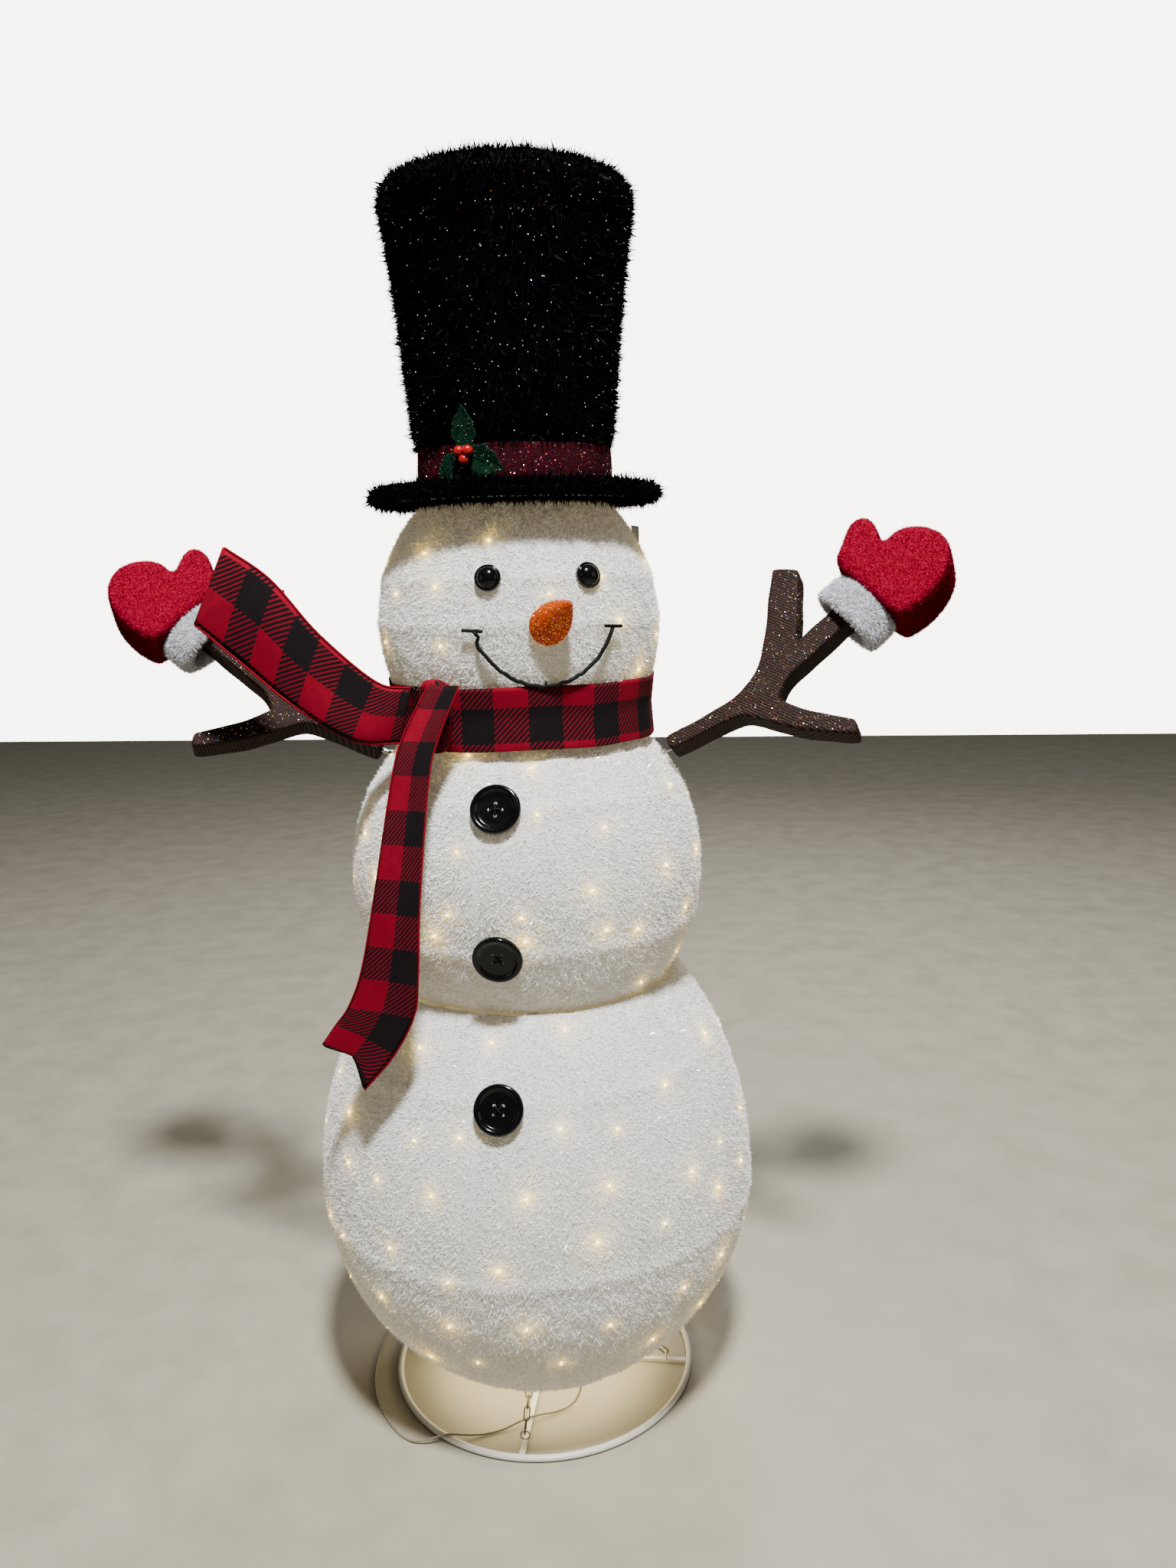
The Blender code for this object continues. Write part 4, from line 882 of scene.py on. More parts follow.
def ribbon(name, first, second, across, along, wave):
    """A closed band of cloth between two edge lines, with soft ripples; UV counts plaid squares.

    across holds the plaid coordinate at the first and the second edge, along the one at the start.
    The smoothed edge lines are returned with it.
    """
    one = np.array([tuple(p) for p in smooth_path(first, 10)])
    two = np.array([tuple(p) for p in smooth_path(second, 10)])
    middle = (one + two) / 2
    walked = np.concatenate([[0], np.cumsum(np.linalg.norm(np.diff(middle, axis=0), axis=1))])
    share = np.linspace(0, 1, 15)
    sheet = one[:, None] * (1 - share)[None, :, None] + two[:, None] * share[None, :, None]
    out = unit(np.cross(unit(two - one), unit(np.gradient(middle, axis=0))))
    crown = np.sin(math.pi * share)
    ripple = wave * np.sin(walked / 0.052)[:, None] * np.cos(math.pi * share * 1.5)[None, :]
    sheet = sheet + out[:, None] * (ripple + 0.004 * crown[None, :])[..., None]
    edge = np.sqrt(np.maximum(1 - (2 * share - 1) ** 8, 0.0)) * CLOTH_THICK / 2
    front = sheet + out[:, None] * edge[None, :, None]
    back = (sheet - out[:, None] * edge[None, :, None])[:, ::-1]
    loop = np.concatenate([front, back], 1)
    u = across[0] + (across[1] - across[0]) * np.concatenate([share, share[::-1]])
    v = along + walked / SQUARE
    uv = uv_grid(u[None, :], v[:, None])
    uv = np.concatenate([uv, uv[:, :1]], 1)
    loop = np.concatenate([loop[:1], loop, loop[-1:]], 0)
    uv = np.concatenate([uv[:1], uv, uv[-1:]], 0)
    loop[0] = np.concatenate([sheet[0], sheet[0][::-1]])
    loop[-1] = np.concatenate([sheet[-1], sheet[-1][::-1]])
    return outward(grid(name, loop, [PLAID], wrap_v=True, uv=uv)), one, two


def make_neck_band():
    """The band round the neck: plaid rows run down it, columns run round it."""
    high, low = 1.142, 1.056
    height = np.linspace(high, low, 15)
    base = np.interp(height, (low, 1.1, high), (0.1962, 0.1928, 0.1975))
    turn = np.linspace(0, 360, 224, endpoint=False)
    angle = np.radians(turn)
    wave = 0.0012 * np.sin(4 * angle + 1) + 0.0009 * np.sin(11 * angle)
    sag = 0.0016 * np.sin(3 * angle + 0.6) + 0.0008 * np.sin(7 * angle)
    rings = [(base[k] + wave, z + sag) for k, z in enumerate(height)]
    inner = [(radius - 0.003, z) for radius, z in rings[::-1]]
    radius, z = rings[-1]
    fold = [(radius - 0.0002, z - 0.0008), (radius - 0.0028, z - 0.0008)]
    loop = rings + fold + inner
    points = np.stack([level_ring(turn, radius, z) for radius, z in loop], 1)
    u = np.array([0.42 + (high - float(np.mean(z))) / 0.0482 for _, z in loop])
    v = np.arange(225) * 26 / 224 + 0.128
    uv = uv_grid(u[None, :], v[:, None])
    uv = np.concatenate([uv, uv[:, :1]], 1)
    band = outward(grid("scarf_neck_band", points, [PLAID], wrap_u=True, wrap_v=True, uv=uv))
    cloth(band, "plaid", "scarf_band")


def make_blown_tail():
    top = [(-0.122, -0.181, 1.142), (-0.171, -0.178, 1.151), (-0.25, -0.172, 1.217), (-0.318, -0.16, 1.292),
           (-0.382, -0.156, 1.337)]
    bottom = [(-0.14, -0.178, 1.066), (-0.205, -0.186, 1.071), (-0.29, -0.176, 1.118),
              (-0.366, -0.166, 1.178), (-0.428, -0.168, 1.232)]
    blown, low, high = ribbon("scarf_end_blown", bottom, top, (1.85, 4.15), 1.7, 0.0022)
    end = [low[-1], low[-1] * 0.66 + high[-1] * 0.34, low[-1] * 0.33 + high[-1] * 0.67, high[-1]]
    piping = [tube(name, path, radius, [RED_EDGE], sides=8) for name, path, radius in
              (("edge_top", high, 0.0017), ("edge_low", low, 0.0017), ("edge_end", end, 0.0028))]
    cloth(blown, "plaid", "scarf_tail_blown")
    edging = join("scarf_piping_blown", *piping)
    cloth(edging, "plaid")


def make_hanging_tail():
    """The tail that hangs in front, with a notch in its end."""
    left = [(-0.089, -0.214, 1.15), (-0.121, -0.236, 1.085), (-0.135, -0.252, 1.03), (-0.162, -0.27, 0.878),
            (-0.185, -0.274, 0.773), (-0.207, -0.272, 0.719), (-0.228, -0.27, 0.69), (-0.249, -0.268, 0.661)]
    right = [(-0.043, -0.232, 1.15), (-0.069, -0.25, 1.085), (-0.082, -0.262, 1.03), (-0.094, -0.292, 0.878),
             (-0.1, -0.3, 0.773), (-0.108, -0.3, 0.719), (-0.14, -0.297, 0.66), (-0.186, -0.29, 0.606)]
    tail, one, two = ribbon("scarf_end_hanging", left, right, (0.0, 2.0), 1.25, 0.0014)
    notch = 0.03
    work = bmesh.new()
    work.from_mesh(tail.data)
    tip = (Vector(one[-1]) + Vector(two[-1])) / 2
    along = (Vector(one[-1]) - Vector(one[-4])).normalized()
    half = (Vector(two[-1]) - Vector(one[-1])).length / 2
    for vert in work.verts:
        off = vert.co - tip
        reach = off.dot(along)
        side = (off - along * reach).length
        if reach > -notch and side < half * 1.3:
            vert.co -= along * (max(0.0, 1 - side / (half * 0.9)) * 0.02 * min(1.0, (reach + notch) / notch))
    work.to_mesh(tail.data)
    work.free()
    cloth(tail, "plaid", "scarf_tail_hanging")
    piping = [tube(name, path, 0.0012, [RED_EDGE], sides=8) for name, path in
              (("edge_left", one), ("edge_right", two))]
    edging = join("scarf_piping_hanging", *piping)
    cloth(edging, "plaid")


def make_scarf_fold():
    """The flat fold over the band that both tails come out of."""
    turn_to = Matrix.Translation((-0.089, -0.187, 1.104)) @ Matrix.Rotation(math.radians(-25), 4, "Z") \
        @ Matrix.Rotation(math.radians(8), 4, "Y")
    angle = full_turn(40)
    wide = np.sign(np.cos(angle)) * np.abs(np.cos(angle)) ** 0.4 * 0.026
    deep = np.sign(np.sin(angle)) * np.abs(np.sin(angle)) ** 0.6 * 0.01
    rows = np.linspace(-1, 1, 25)
    size = np.maximum(1 - np.abs(rows) ** 6, 0.0) ** 0.5
    points = np.zeros((40, 25, 3))
    points[..., 0] = wide[:, None] * (0.25 + 0.75 * size)[None, :]
    points[..., 1] = deep[:, None] * size[None, :] * (1 + 0.15 * np.sin(rows * 9))[None, :]
    points[..., 2] = rows[None, :] * 0.051
    uv = uv_grid(np.linspace(0, 4, 41)[:, None], np.linspace(0, 2.3, 25)[None, :])
    knot = outward(grid("scarf_fold", points, [PLAID], wrap_u=True, uv=uv))
    knot.data.transform(turn_to)
    cloth(knot, "plaid", "scarf_knot")


def make_scarf():
    make_neck_band()
    make_blown_tail()
    make_hanging_tail()
    make_scarf_fold()


# ---------------------------------------------------------------- arms

def stub_axis(side):
    """Direction in which an arm plugs out, 1 for the right one and -1 for the left."""
    slope, sweep = math.radians(ARM_SLOPE[side]), math.radians(ARM_SWEEP[side])
    level = math.cos(slope)
    return Vector((side * level * math.cos(sweep), level * math.sin(sweep), math.sin(slope)))


def arm_matrix(side):
    """Frame of an arm: local X out along the rod, local Y up the branch, local Z out of its front."""
    out = stub_axis(side)
    lean = math.radians(ARM_LEAN[side])
    back = Vector((0.0, 0.0, 1.0)).cross(out).normalized() * side
    up = out.cross(back) * side * math.cos(lean) + back * math.sin(lean)
    turn = Matrix((out, up, out.cross(up) * side)).transposed().to_4x4()
    return Matrix.Translation((side * SHOULDER.x, SHOULDER.y, SHOULDER.z)) @ turn


def plate(name, outline, half, bevel, resolution=4):
    """A thick plate with an even round edge, from an outline."""
    curve = bpy.data.curves.new(name, "CURVE")
    curve.dimensions = "2D"
    curve.fill_mode = "BOTH"
    curve.extrude = half - bevel
    curve.bevel_depth = bevel
    curve.bevel_resolution = resolution
    curve.offset = -bevel
    spline = curve.splines.new("POLY")
    spline.points.add(len(outline) - 1)
    for point, spot in zip(spline.points, outline):
        point.co = (spot[0], spot[1], 0.0, 1.0)
    spline.use_cyclic_u = True
    made = placed(name, curve)
    mesh = evaluated(made)
    bpy.data.objects.remove(made, do_unlink=True)
    return link(name, mesh)


def remeshed(thing, voxel, material, smoothing=0):
    """Even quads of one material, in a softened form where smoothing is given."""
    pieces = thing.modifiers.new("even", "REMESH")
    pieces.mode, pieces.voxel_size, pieces.use_smooth_shade = "VOXEL", voxel, True
    if smoothing:
        soft = thing.modifiers.new("soft", "SMOOTH")
        soft.factor, soft.iterations = 0.5, smoothing
    apply_all(thing)
    thing.data.materials.clear()
    thing.data.materials.append(material)


def mirrored(thing, name):
    """A mirrored copy for the other arm, in that arm's own frame."""
    mesh = thing.data.copy()
    mesh.transform(arm_matrix(-1) @ arm_matrix(1).inverted())
    mesh.flip_normals()
    return placed(name, mesh)


def both_arms(thing, stem, slot, *nodes):
    """Rides a right-arm piece on its arm, and a mirrored copy on the other arm."""
    other = mirrored(thing, stem + "_left")
    ride(thing, "arm_right", slot, *[n + "_right" for n in nodes])
    ride(other, "arm_left", slot, *[n + "_left" for n in nodes])
    return thing, other


BRANCH_HALF = 0.0217
MITTEN_HALF = 0.046
CUFF_HALF = 0.022


def make_branches():
    branch = plate("branch_right", softened(ARM_OUTLINE, 2, 50.0), BRANCH_HALF, 0.004)
    remeshed(branch, 0.0026, BARK)
    co, normals = vertex_values(branch.data, "co"), vertex_values(branch.data, "normal")
    lump = 0.0004 * np.sin(co[:, 0] * 90 + co[:, 1] * 50) + 0.0003 * np.sin(co[:, 1] * 120 - co[:, 0] * 40)
    co += normals * lump[:, None]
    branch.data.vertices.foreach_set("co", co.ravel())
    branch.data.transform(arm_matrix(1))
    branch.data.update()

    def shown(points, normals):
        """More flakes on the faces that look up."""
        return normals[:, 2] + 0.35 * RNG.random(len(normals)) > 0.02

    flakes = specks("branch_glitter_right", branch, 10000, 0.0008, (0.8, 1.0, 0.8, 0.6, 0.4, 0.6, 0.5, 6),
                    keep=shown)
    both_arms(branch, "branch", "bark_mesh", "arm")
    both_arms(flakes, "branch_glitter", "bark_mesh")


def make_mittens():
    place = arm_matrix(1)
    mitten = plate("mitten_body_right", rounded(MITTEN_OUTLINE, 1, closed=True), MITTEN_HALF, 0.012, 6)
    remeshed(mitten, 0.004, MITTEN_BACKING, smoothing=3)
    points, normals = scatter(mitten, 90000)
    # The side faces get almost only the deep and darkest reds: painted shade on the sides of the mitten.
    facing = np.abs(normals[:, 2]) > 0.55
    chance = RNG.random(len(points))
    edge = np.select([chance < 0.35, chance < 0.985], [1, 3], 2)
    slots = np.where(facing, by_chance(chance, 0.66, 0.95), edge)
    fuzz = pile("mitten_pile_right", points, normals, 0.0042, 0.001, 0.8, slots, RED_PILE,
                rows=np.tile((1.0, 0.3, 0.2), (len(points), 1)))
    mitten.data.transform(place)
    fuzz.data.transform(place)
    for thing in both_arms(mitten, "mitten_body", "mitten_red", "mitten"):
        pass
    both_arms(fuzz, "mitten_pile", "mitten_red")


def make_cuffs():
    place = arm_matrix(1)
    half = CUFF_HALF
    profile = rounded([(0.047, half), (0.0495, half * 0.4), (0.05, -half * 0.6), (0.049, -half),
                       (0.034, -half), (0.032, 0.0), (0.033, half)], 1, closed=True)
    turn = Matrix.Translation((0.33, 0.059, 0.0)) @ Matrix.Rotation(math.radians(17.0), 4, "Z") \
        @ Matrix.Rotation(math.pi / 2, 4, "Y")
    oval = Matrix.Diagonal((0.9, 1.18, 1.0, 1.0))
    cuff = lathe("cuff_body_right", profile, [CUFF_BACKING], 64, turn @ oval)
    points, normals = scatter(cuff, 26000)
    slots = by_chance(RNG.random(len(points)), 0.62, 0.93)
    fuzz = pile("cuff_pile_right", points, normals, 0.007, 0.0012, 0.8, slots, CUFF_PILE)
    cuff.data.transform(place)
    fuzz.data.transform(place)
    both_arms(cuff, "cuff_body", "cuff_white", "cuff")
    both_arms(fuzz, "cuff_pile", "cuff_white")


# ---------------------------------------------------------------- hat

TUFT_SHARE = 0.05


def hat_fur(name, points, normals, length, tuft_length, tilt, **settings):
    """Short black fibres with a few long, broad ones among them."""
    slots = np.where(RNG.random(len(points)) < 0.8, 0, 1)
    tuft = RNG.random(len(points)) < TUFT_SHARE
    ragged, wide = np.where(tuft, tuft_length, length), np.where(tuft, 0.0036, 0.0014)
    fuzz = pile(name, points, normals, ragged, wide, tilt, slots, BLACK_PILE, **settings)
    ride(fuzz, "hat", "tinsel_black")


def make_hat_top():
    inside = [(0.131, 1.464), (0.1302, 1.4105), (0.1265, 1.4105), (0.1345, 1.468), (0.144, 1.571),
              (0.152, 1.665), (0.162, 1.745), (0.169, 1.798), (0.156, 1.816), (0.0, 1.8215)]
    top = lathe("hat_top", rounded(CROWN_PROFILE + inside, 1), [BLACK_BACKING], 128, closed=False)
    ride(top, "hat", "tinsel_black", "hat_crown")
    points, normals = scatter(top, 210000)
    seen = (outer_side(points, normals, 0.02) | (points[:, 2] > 1.822)) & (points[:, 2] > 1.468)
    points, normals = points[seen][:150000], normals[seen][:150000]
    hat_fur("hat_top_pile", points, normals, 0.0118, 0.0185, 0.66, spread=1.6, droop=0.05)
    # Mostly silver flakes, whose faint emission is a painted glint.
    stars = specks("hat_top_stars", top, 3000, 0.00085, (0.3, 0.3, 0.5, 1.0, 9, 0.7, 0.2, 0), lift=0.0125,
                   keep=lambda p, n: outer_side(p, n, 0.02) & (p[:, 2] > 1.472))
    ride(stars, "hat", "tinsel_black")


def make_hat_rim():
    low, high = 1.3955, 1.4085
    rim = [(0.1302, high), (0.196, high), (0.2035, high - 0.001), (0.2062, (low + high) / 2),
           (0.2035, low + 0.001), (0.196, low), (0.1302, low)]
    brim = lathe("hat_rim", rounded(rim, 2, closed=True), [BLACK_BACKING], 128)
    ride(brim, "hat", "tinsel_black", "hat_brim")
    points, normals = scatter(brim, 110000)
    round_rows = np.stack([-points[:, 1], points[:, 0], 0 * points[:, 0]], -1)
    hat_fur("hat_rim_pile", points, normals, 0.0115, 0.0195, 0.64, rows=round_rows)


def make_hat_ribbon():
    angle = full_turn(160)[:, None]
    heights = np.linspace(1.4102, 1.4655, 12)
    ripple = 0.0008 * np.sin(9 * angle) + 0.0005 * np.sin(23 * angle + 1)
    outer = 0.1388 + ripple + 0.0016 * np.sin(np.linspace(0, math.pi, 12))[None, :]
    radius = np.concatenate([outer, np.full((160, 12), 0.1318)], 1)
    points = polar(angle, radius, np.concatenate([heights, heights[::-1]]))
    band = outward(grid("hat_ribbon", points, [RED_RIBBON], wrap_u=True, wrap_v=True))
    ride(band, "hat", "glitter_red", "hat_band")
    flakes = specks("hat_ribbon_glitter", band, 12000, 0.0009, (14, 1.4, 0.3, 0.8, 0.5, 0.3, 0.4, 3),
                    keep=lambda p, n: outer_side(p, n, 0.01))
    ride(flakes, "hat", "glitter_red")


def make_hat():
    make_hat_top()
    make_hat_rim()
    make_hat_ribbon()
    make_holly()


def holly_leaf(k, length, width):
    """A domed leaf with a scalloped edge and a midrib, along local Y."""
    t = np.linspace(0.0, 1.0, 37)
    scallop = 1.0 + 0.16 * np.abs(np.sin(t * math.pi * 3.5)) - 0.12
    half = width / 2 * np.sin(math.pi * np.clip(t, 0.015, 0.985) ** 0.85) * scallop
    share = np.linspace(-1, 1, 13)
    off = np.abs(share)[None, :]
    x = half[:, None] * share[None, :]
    y = np.broadcast_to((length * t)[:, None], x.shape)
    dome = 0.0035 * off ** 1.3 * np.sin(math.pi * t)[:, None] + 0.004 * (t ** 2)[:, None] \
        + 0.0006 * np.abs(np.sin(t * 22))[:, None] * off
    front = np.stack([x, y, dome + 0.0008], -1)
    back = np.stack([x, y, dome - 0.0008], -1)[:, ::-1]
    leaf = outward(grid(f"leaf_{k}", np.concatenate([front, back], 1), [HOLLY], wrap_v=True))
    vein = [(0, length * s, 0.0011 + 0.004 * s * s) for s in np.linspace(0.02, 0.95, 14)]
    rib = tube(f"vein_{k}", vein, 0.0009, [HOLLY], sides=6, taper=np.linspace(1, 0.3, 14))
    return join(f"leaf_{k}", leaf, rib)


def make_holly():
    """Three glittered leaves and three berries on the band, in front at the left."""
    azimuth = -16.0
    place = Matrix.Translation(Vector(around(azimuth)) * 0.1455 + Vector((0, 0, 1.452))) \
        @ Matrix.Rotation(math.radians(azimuth), 4, "Z") @ Matrix.Rotation(math.radians(95), 4, "X")
    leaves = []
    for k, (turn, length, width) in enumerate(((0, 0.066, 0.036), (132, 0.062, 0.038), (-112, 0.064, 0.042))):
        shift = Matrix.Rotation(math.radians(turn), 4, "Z") @ Matrix.Translation((0, -0.003, 0.0004 * k))
        leaf = holly_leaf(k, length, width)
        leaf.data.transform(place @ shift)
        leaves.append(leaf)
    holly = join("holly_sprig", *leaves)
    ride(holly, "hat", "holly_green", "holly_leaves")
    flakes = specks("holly_glitter", holly, 4200, 0.00055, (0.1, 0.1, 9, 0.3, 0.2, 0.3, 0, 0))
    flakes.data.materials[2] = constant("glitter_leaf", (0.0, 0.055, 0.018), 0.35, 0.5)
    ride(flakes, "hat", "holly_green")
    ball = [(0.0076 * math.sin(a), -0.0076 * math.cos(a)) for a in np.linspace(0, math.pi, 17)]
    ball[-1] = (0.0, 0.007)
    berries = []
    for k, (x, y) in enumerate(((-0.0066, 0.0032), (0.0064, 0.0034), (0.0002, -0.008))):
        where = place @ Matrix.Translation((x, y, 0.0088))
        berries.append(lathe(f"berry_{k}", ball, [BERRY], 32, where, closed=False))
    ride(join("holly_beads", *berries), "hat", "berry_red", "holly_berries")


# ---------------------------------------------------------------- base, chains and cord

def make_base():
    """The ring, two crossed bars, four eyes for the chains and the bars' welds."""
    profile = [(0.24 + 0.005 * math.cos(a), 0.005 + 0.005 * math.sin(a)) for a in full_turn(16)]
    ring = lathe("foot_ring", profile, [WHITE_PAINT], 160)
    ride(ring, "base", "frame_white", "base_ring")
    parts = []
    for turn in (0, 90):
        bpy.ops.mesh.primitive_cube_add(size=2.0, location=(0, 0, 0.003))
        bar = bpy.context.object
        bar.scale = (0.235, 0.0045, 0.003)
        bpy.ops.object.transform_apply(scale=True)
        soft = bar.modifiers.new("edges", "BEVEL")
        soft.width, soft.segments = 0.001, 3
        apply_all(bar)
        bar.data.materials.append(WHITE_PAINT)
        bar.data.transform(Matrix.Rotation(math.radians(turn), 4, "Z"))
        parts.append(bar)
    for quarter in range(4):
        out = Vector(around(90.0 * quarter))
        side = Vector(around(90.0 * quarter + 90.0))
        centre = out * 0.202 + Vector((0, 0, 0.0125))
        loop = [centre + (side * math.cos(a) + Vector((0, 0, math.sin(a)))) * 0.007 for a in full_turn(24)]
        parts.append(tube(f"eye_{quarter}", loop, 0.0015, [WHITE_PAINT], sides=8, cyclic=True))
        bead = [out * (0.2358 + 0.0012 * k) + Vector((0, 0, 0.0055 - 0.0004 * k)) for k in range(3)]
        parts.append(tube(f"weld_{quarter}", bead, 0.0052, [WHITE_PAINT], sides=12,
                          taper=np.array((0.6, 1.0, 0.6))))
    ride(join("foot_bars", *parts), "base", "frame_white", "base_spokes")


def link_loop(start, end, width, across):
    """An oval loop of wire between two places."""
    along = (end - start).normalized()
    middle = (start + end) / 2
    straight = (end - start).length / 2 - width
    points = []
    for side in (1, -1):
        for k in range(9):
            angle = math.radians(-90 + 22.5 * k)
            points.append(middle + (along * (straight + width * math.cos(angle)) + across
                                    * (width * math.sin(angle))) * side)
    return points


def make_chains():
    """From each eye on the bars up to the bottom hoop: three oval links and a snap hook."""
    for quarter, name in enumerate(("front", "right", "rear", "left")):
        out = Vector(around(90.0 * quarter))
        side = Vector(around(90.0 * quarter + 90.0))
        low = out * 0.201 + Vector((0, 0, 0.0185))
        high = out * 0.1505 + Vector((0, 0, 0.06))
        run = high - low
        along = run.normalized()
        flat = along.cross(side).normalized()
        stops = [-0.05, 0.24, 0.49, 0.735]
        parts = []
        for k in range(3):
            loop = link_loop(low + run * (stops[k] - 0.028), low + run * (stops[k + 1] + 0.028), 0.0042,
                             side if k % 2 else flat)
            parts.append(tube(f"link_{k}", loop, 0.00105, [CHAIN_STEEL], sides=8, cyclic=True))
        hook = link_loop(low + run * 0.705, high + along * 0.003, 0.0048, side)
        parts.append(tube("hook", hook, 0.0013, [CHAIN_STEEL], sides=8, cyclic=True))
        bend = (hook[2] + hook[6]) / 2 + side * 0.0012 + along * 0.004
        parts.append(tube("gate", [hook[2] + along * 0.001, bend, hook[6]], 0.0008, [CHAIN_STEEL], sides=6))
        ride(join("hook_chain_" + name, *parts), "base", "steel", "chain_" + name)


COIL_TRACKS = [0.0213, 0.018, 0.0147, 0.0147, 0.018, 0.0213, 0.0213]
COIL_TURNS = 6.93
COIL_STEPS = 20
LAYER_HEIGHT = 0.0034
CLIMB = 0.4


def coil_layer(t):
    """Which layer of the coil the cord is in after t turns: 0, 1 or 2, with short climbs between them."""
    if t < 2.6:
        return 0.0
    if t < 5.6:
        return min(1.0, (t - 2.6) / CLIMB)
    layer = 1.0 + min(1.0, (t - 5.6) / CLIMB)
    if t > COIL_TURNS - 0.3:
        layer *= 1.0 - 0.2 * (t - COIL_TURNS + 0.3) / 0.3
    return layer


def coil_points():
    """The coil's turns, which go in over three tracks and out again, layer by layer."""
    points = []
    for k in range(int(COIL_TURNS * COIL_STEPS) + 1):
        t = k / COIL_STEPS
        i = min(int(t), len(COIL_TRACKS) - 2)
        ease = 0.5 - 0.5 * math.cos(math.pi * (t - i))
        radius = COIL_TRACKS[i] + (COIL_TRACKS[i + 1] - COIL_TRACKS[i]) * ease
        angle = math.radians(-57) + math.tau * t
        height = FLOOR_Z + LAYER_HEIGHT * coil_layer(t)
        points.append(COIL + Vector((radius * math.cos(angle), radius * math.sin(angle), height)))
    return points


def make_cord():
    """The free cord, its coil and the plug's entry as one curve; a tie round the coil; the plug's sleeve."""
    route = smooth_path(CORD_ROUTE, 3)
    tail = [(-0.056, 0.304, 0.006), (-0.043, 0.295, 0.003), (-0.03, 0.288, 0.0025),
            (-0.018, 0.285, 0.0045), (-0.0118, 0.2905, 0.01), (-0.0102, 0.3, 0.0148),
            (-0.01, 0.3085, 0.0163)]
    entry = [Vector((-0.086, 0.306, FLOOR_Z))]
    path = smooth_path(route[:-2] + entry + coil_points()[::2] + [Vector(p) for p in tail], 3)
    curve = bpy.data.curves.new("mains_cord", "CURVE")
    curve.dimensions = "3D"
    curve.bevel_depth = CORD_RADIUS
    curve.bevel_resolution = 3
    curve.use_fill_caps = True
    spline = curve.splines.new("POLY")
    spline.points.add(len(path) - 1)
    for point, spot in zip(spline.points, path):
        point.co = (*spot, 1.0)
    spline.use_smooth = True
    cord = placed("mains_cord", curve)
    curve.materials.append(CORD_PVC)
    ride(cord, "base", "cord_clear", "power_cord", "cord_coil")

    middle = COIL + Vector((-0.018, 0, 0.0068))
    tie_path = []
    for k in range(28):
        angle = math.tau * k / 28
        tie_path.append(middle + Vector((0.0068 * math.cos(angle), 0, 0.0056 * math.sin(angle))))
    tie = tube("cord_tie", tie_path, 0.0009, [CORD_BLACK], sides=8, cyclic=True)
    ride(tie, "base", "cord_clear")

    relief = [Vector((-0.01, 0.3092 - 0.0018 * k, 0.0163 - 0.00022 * k * k * 0.25)) for k in range(12)]
    sleeve = tube("plug_sleeve", relief, 0.0052, [PLUG_PVC], sides=16,
                  taper=np.array([1.0 - 0.045 * k - (0.1 if k % 2 else 0.0) for k in range(12)]))
    ride(sleeve, "base", "cord_clear")
    for name in ("plug", "cord_clip"):
        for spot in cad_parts[name].material_slots:
            spot.material = PLUG_PVC


LABEL_WIDTH = 0.024
LABEL_REACH = 0.011


def make_label():
    """The blank care label that sticks out at the right of the head."""
    azimuth, height = 99.0, 1.345
    out, side, up = around(azimuth), around(azimuth + 90.0), np.array((0, 0, 1.0))
    place = out * (float(ball_radius(HEAD, height)) - 0.002) + np.array((0, 0, height))
    rows = np.linspace(0, 1, 10)[:, None, None]
    across = np.linspace(-0.5, 0.5, 7)[None, :, None]
    points = place + LABEL_REACH * rows * out + (LABEL_WIDTH * across - 0.002 * rows) * up \
        + 0.0022 * np.sin(rows * 2.4) * side
    label = grid("care_label", points, [LABEL])
    thickness = label.modifiers.new("thickness", "SOLIDIFY")
    thickness.thickness = 0.0007
    cloth(apply_all(label), "tinsel_white")
# ---------------------------------------------------------------- the rest of the CAD nodes

def dress_frame():
    """Detailed materials for the CAD pieces that stay."""
    steel, paint = worn_steel("pole_steel"), WHITE_PAINT
    for name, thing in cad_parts.items():
        if thing.hide_render or name in ("plug", "cord_clip"):
            continue
        material = steel if name.startswith(("pole_l", "pole_m", "pole_u", "crown_s", "arm_")) else paint
        for spot in thing.material_slots:
            spot.material = material


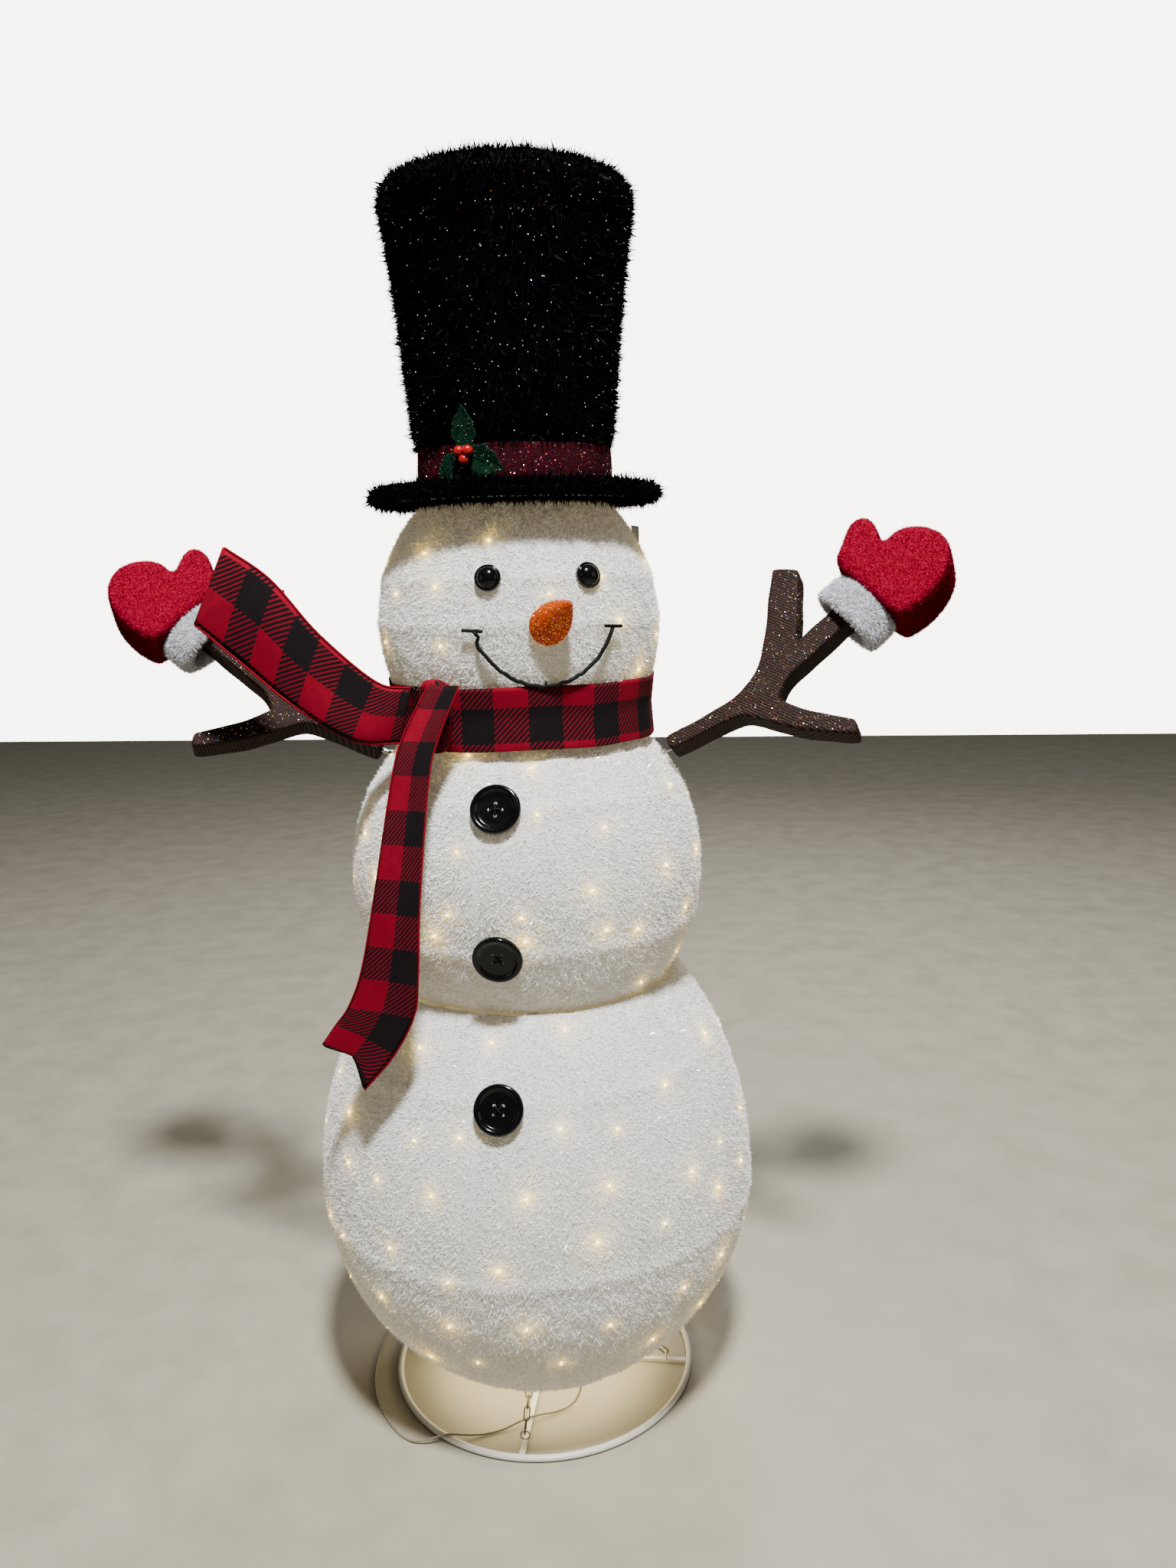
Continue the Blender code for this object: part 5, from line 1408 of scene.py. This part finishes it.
WHITE_BACKING = backing("white_backing", (0.58, 0.57, 0.54), (0.8, 0.8, 0.78), glow=0.75)
BLACK_BACKING = backing("black_backing", (0.0006, 0.0006, 0.0007), (0.002, 0.002, 0.0024))
MITTEN_BACKING = backing("mitten_backing", (0.12, 0.0, 0.005), (0.26, 0.001, 0.011))
CUFF_BACKING = backing("cuff_backing", (0.3, 0.3, 0.32), (0.6, 0.6, 0.63))
GLOSS_BLACK = painted("gloss_black", (0.002, 0.002, 0.0024), 0.14, 90.0, 0.04, Specular_IOR_Level=0.28)
CORD_BLACK = painted("cord_black", (0.002, 0.002, 0.002), 0.6, 700.0, 0.5, Specular_IOR_Level=0.15)
CARROT = backing("carrot_cloth", (0.34, 0.032, 0.0), (0.62, 0.072, 0.0), scale=700.0)
RED_RIBBON = backing("red_ribbon", (0.012, 0.0, 0.002), (0.034, 0.001, 0.005), scale=500.0)
RED_EDGE = backing("red_edge", (0.13, 0.0, 0.006), (0.26, 0.002, 0.012), scale=900.0)
HOLLY = backing("holly_felt", (0.0, 0.006, 0.003), (0.001, 0.026, 0.01), scale=600.0)
BERRY = painted("berry_lacquer", (0.3, 0.001, 0.004), 0.16, 60.0, 0.05, Coat_Weight=0.5, Coat_Roughness=0.06)
WHITE_PAINT = painted("white_paint", (0.66, 0.635, 0.57), 0.34, 160.0, 0.25)
CHAIN_STEEL = worn_steel("chain_steel", (0.17, 0.15, 0.12), 0.3)
CORD_PVC = painted("cord_pvc", (0.27, 0.24, 0.17), 0.3, 300.0, 0.1, Transmission_Weight=0.1)
PLUG_PVC = painted("plug_pvc", (0.7, 0.66, 0.54), 0.35, 200.0, 0.15, Transmission_Weight=0.15)
STRING_CLEAR = painted("string_pvc", (0.66, 0.62, 0.5), 0.3, 300.0, 0.1)
BULB = constant("bulb_warm", (1.0, 0.93, 0.7), 0.2, Emission_Color=(1.0, 0.76, 0.26, 1.0),
                Emission_Strength=6.0)
LABEL = backing("label_cloth", (0.55, 0.53, 0.47), (0.72, 0.7, 0.64), scale=900.0)
PLAID = plaid()
BARK = bark()

camera()
studio()
make_cord()
make_base()
make_chains()
make_ball("lower", LOWER, (175000, 2), 6, 0.1, 0.665, 0.105, 520)
make_ball("middle", MIDDLE, (190000, 1), 4, 0.715, 1.035, 0.11, 360,
          extra_rows=((0.172, 1.056, True),))
make_ball("head", HEAD, (140000, 1), 3, 1.135, 1.35, 0.125, 260,
          extra_rows=((0.1725, 1.06, False), (0.1, 1.392, True), (0.03, 1.3922, True)))
make_eyes()
make_nose()
make_mouth()
make_buttons()
make_scarf()
make_branches()
make_mittens()
make_cuffs()
make_hat()
make_label()
dress_frame()
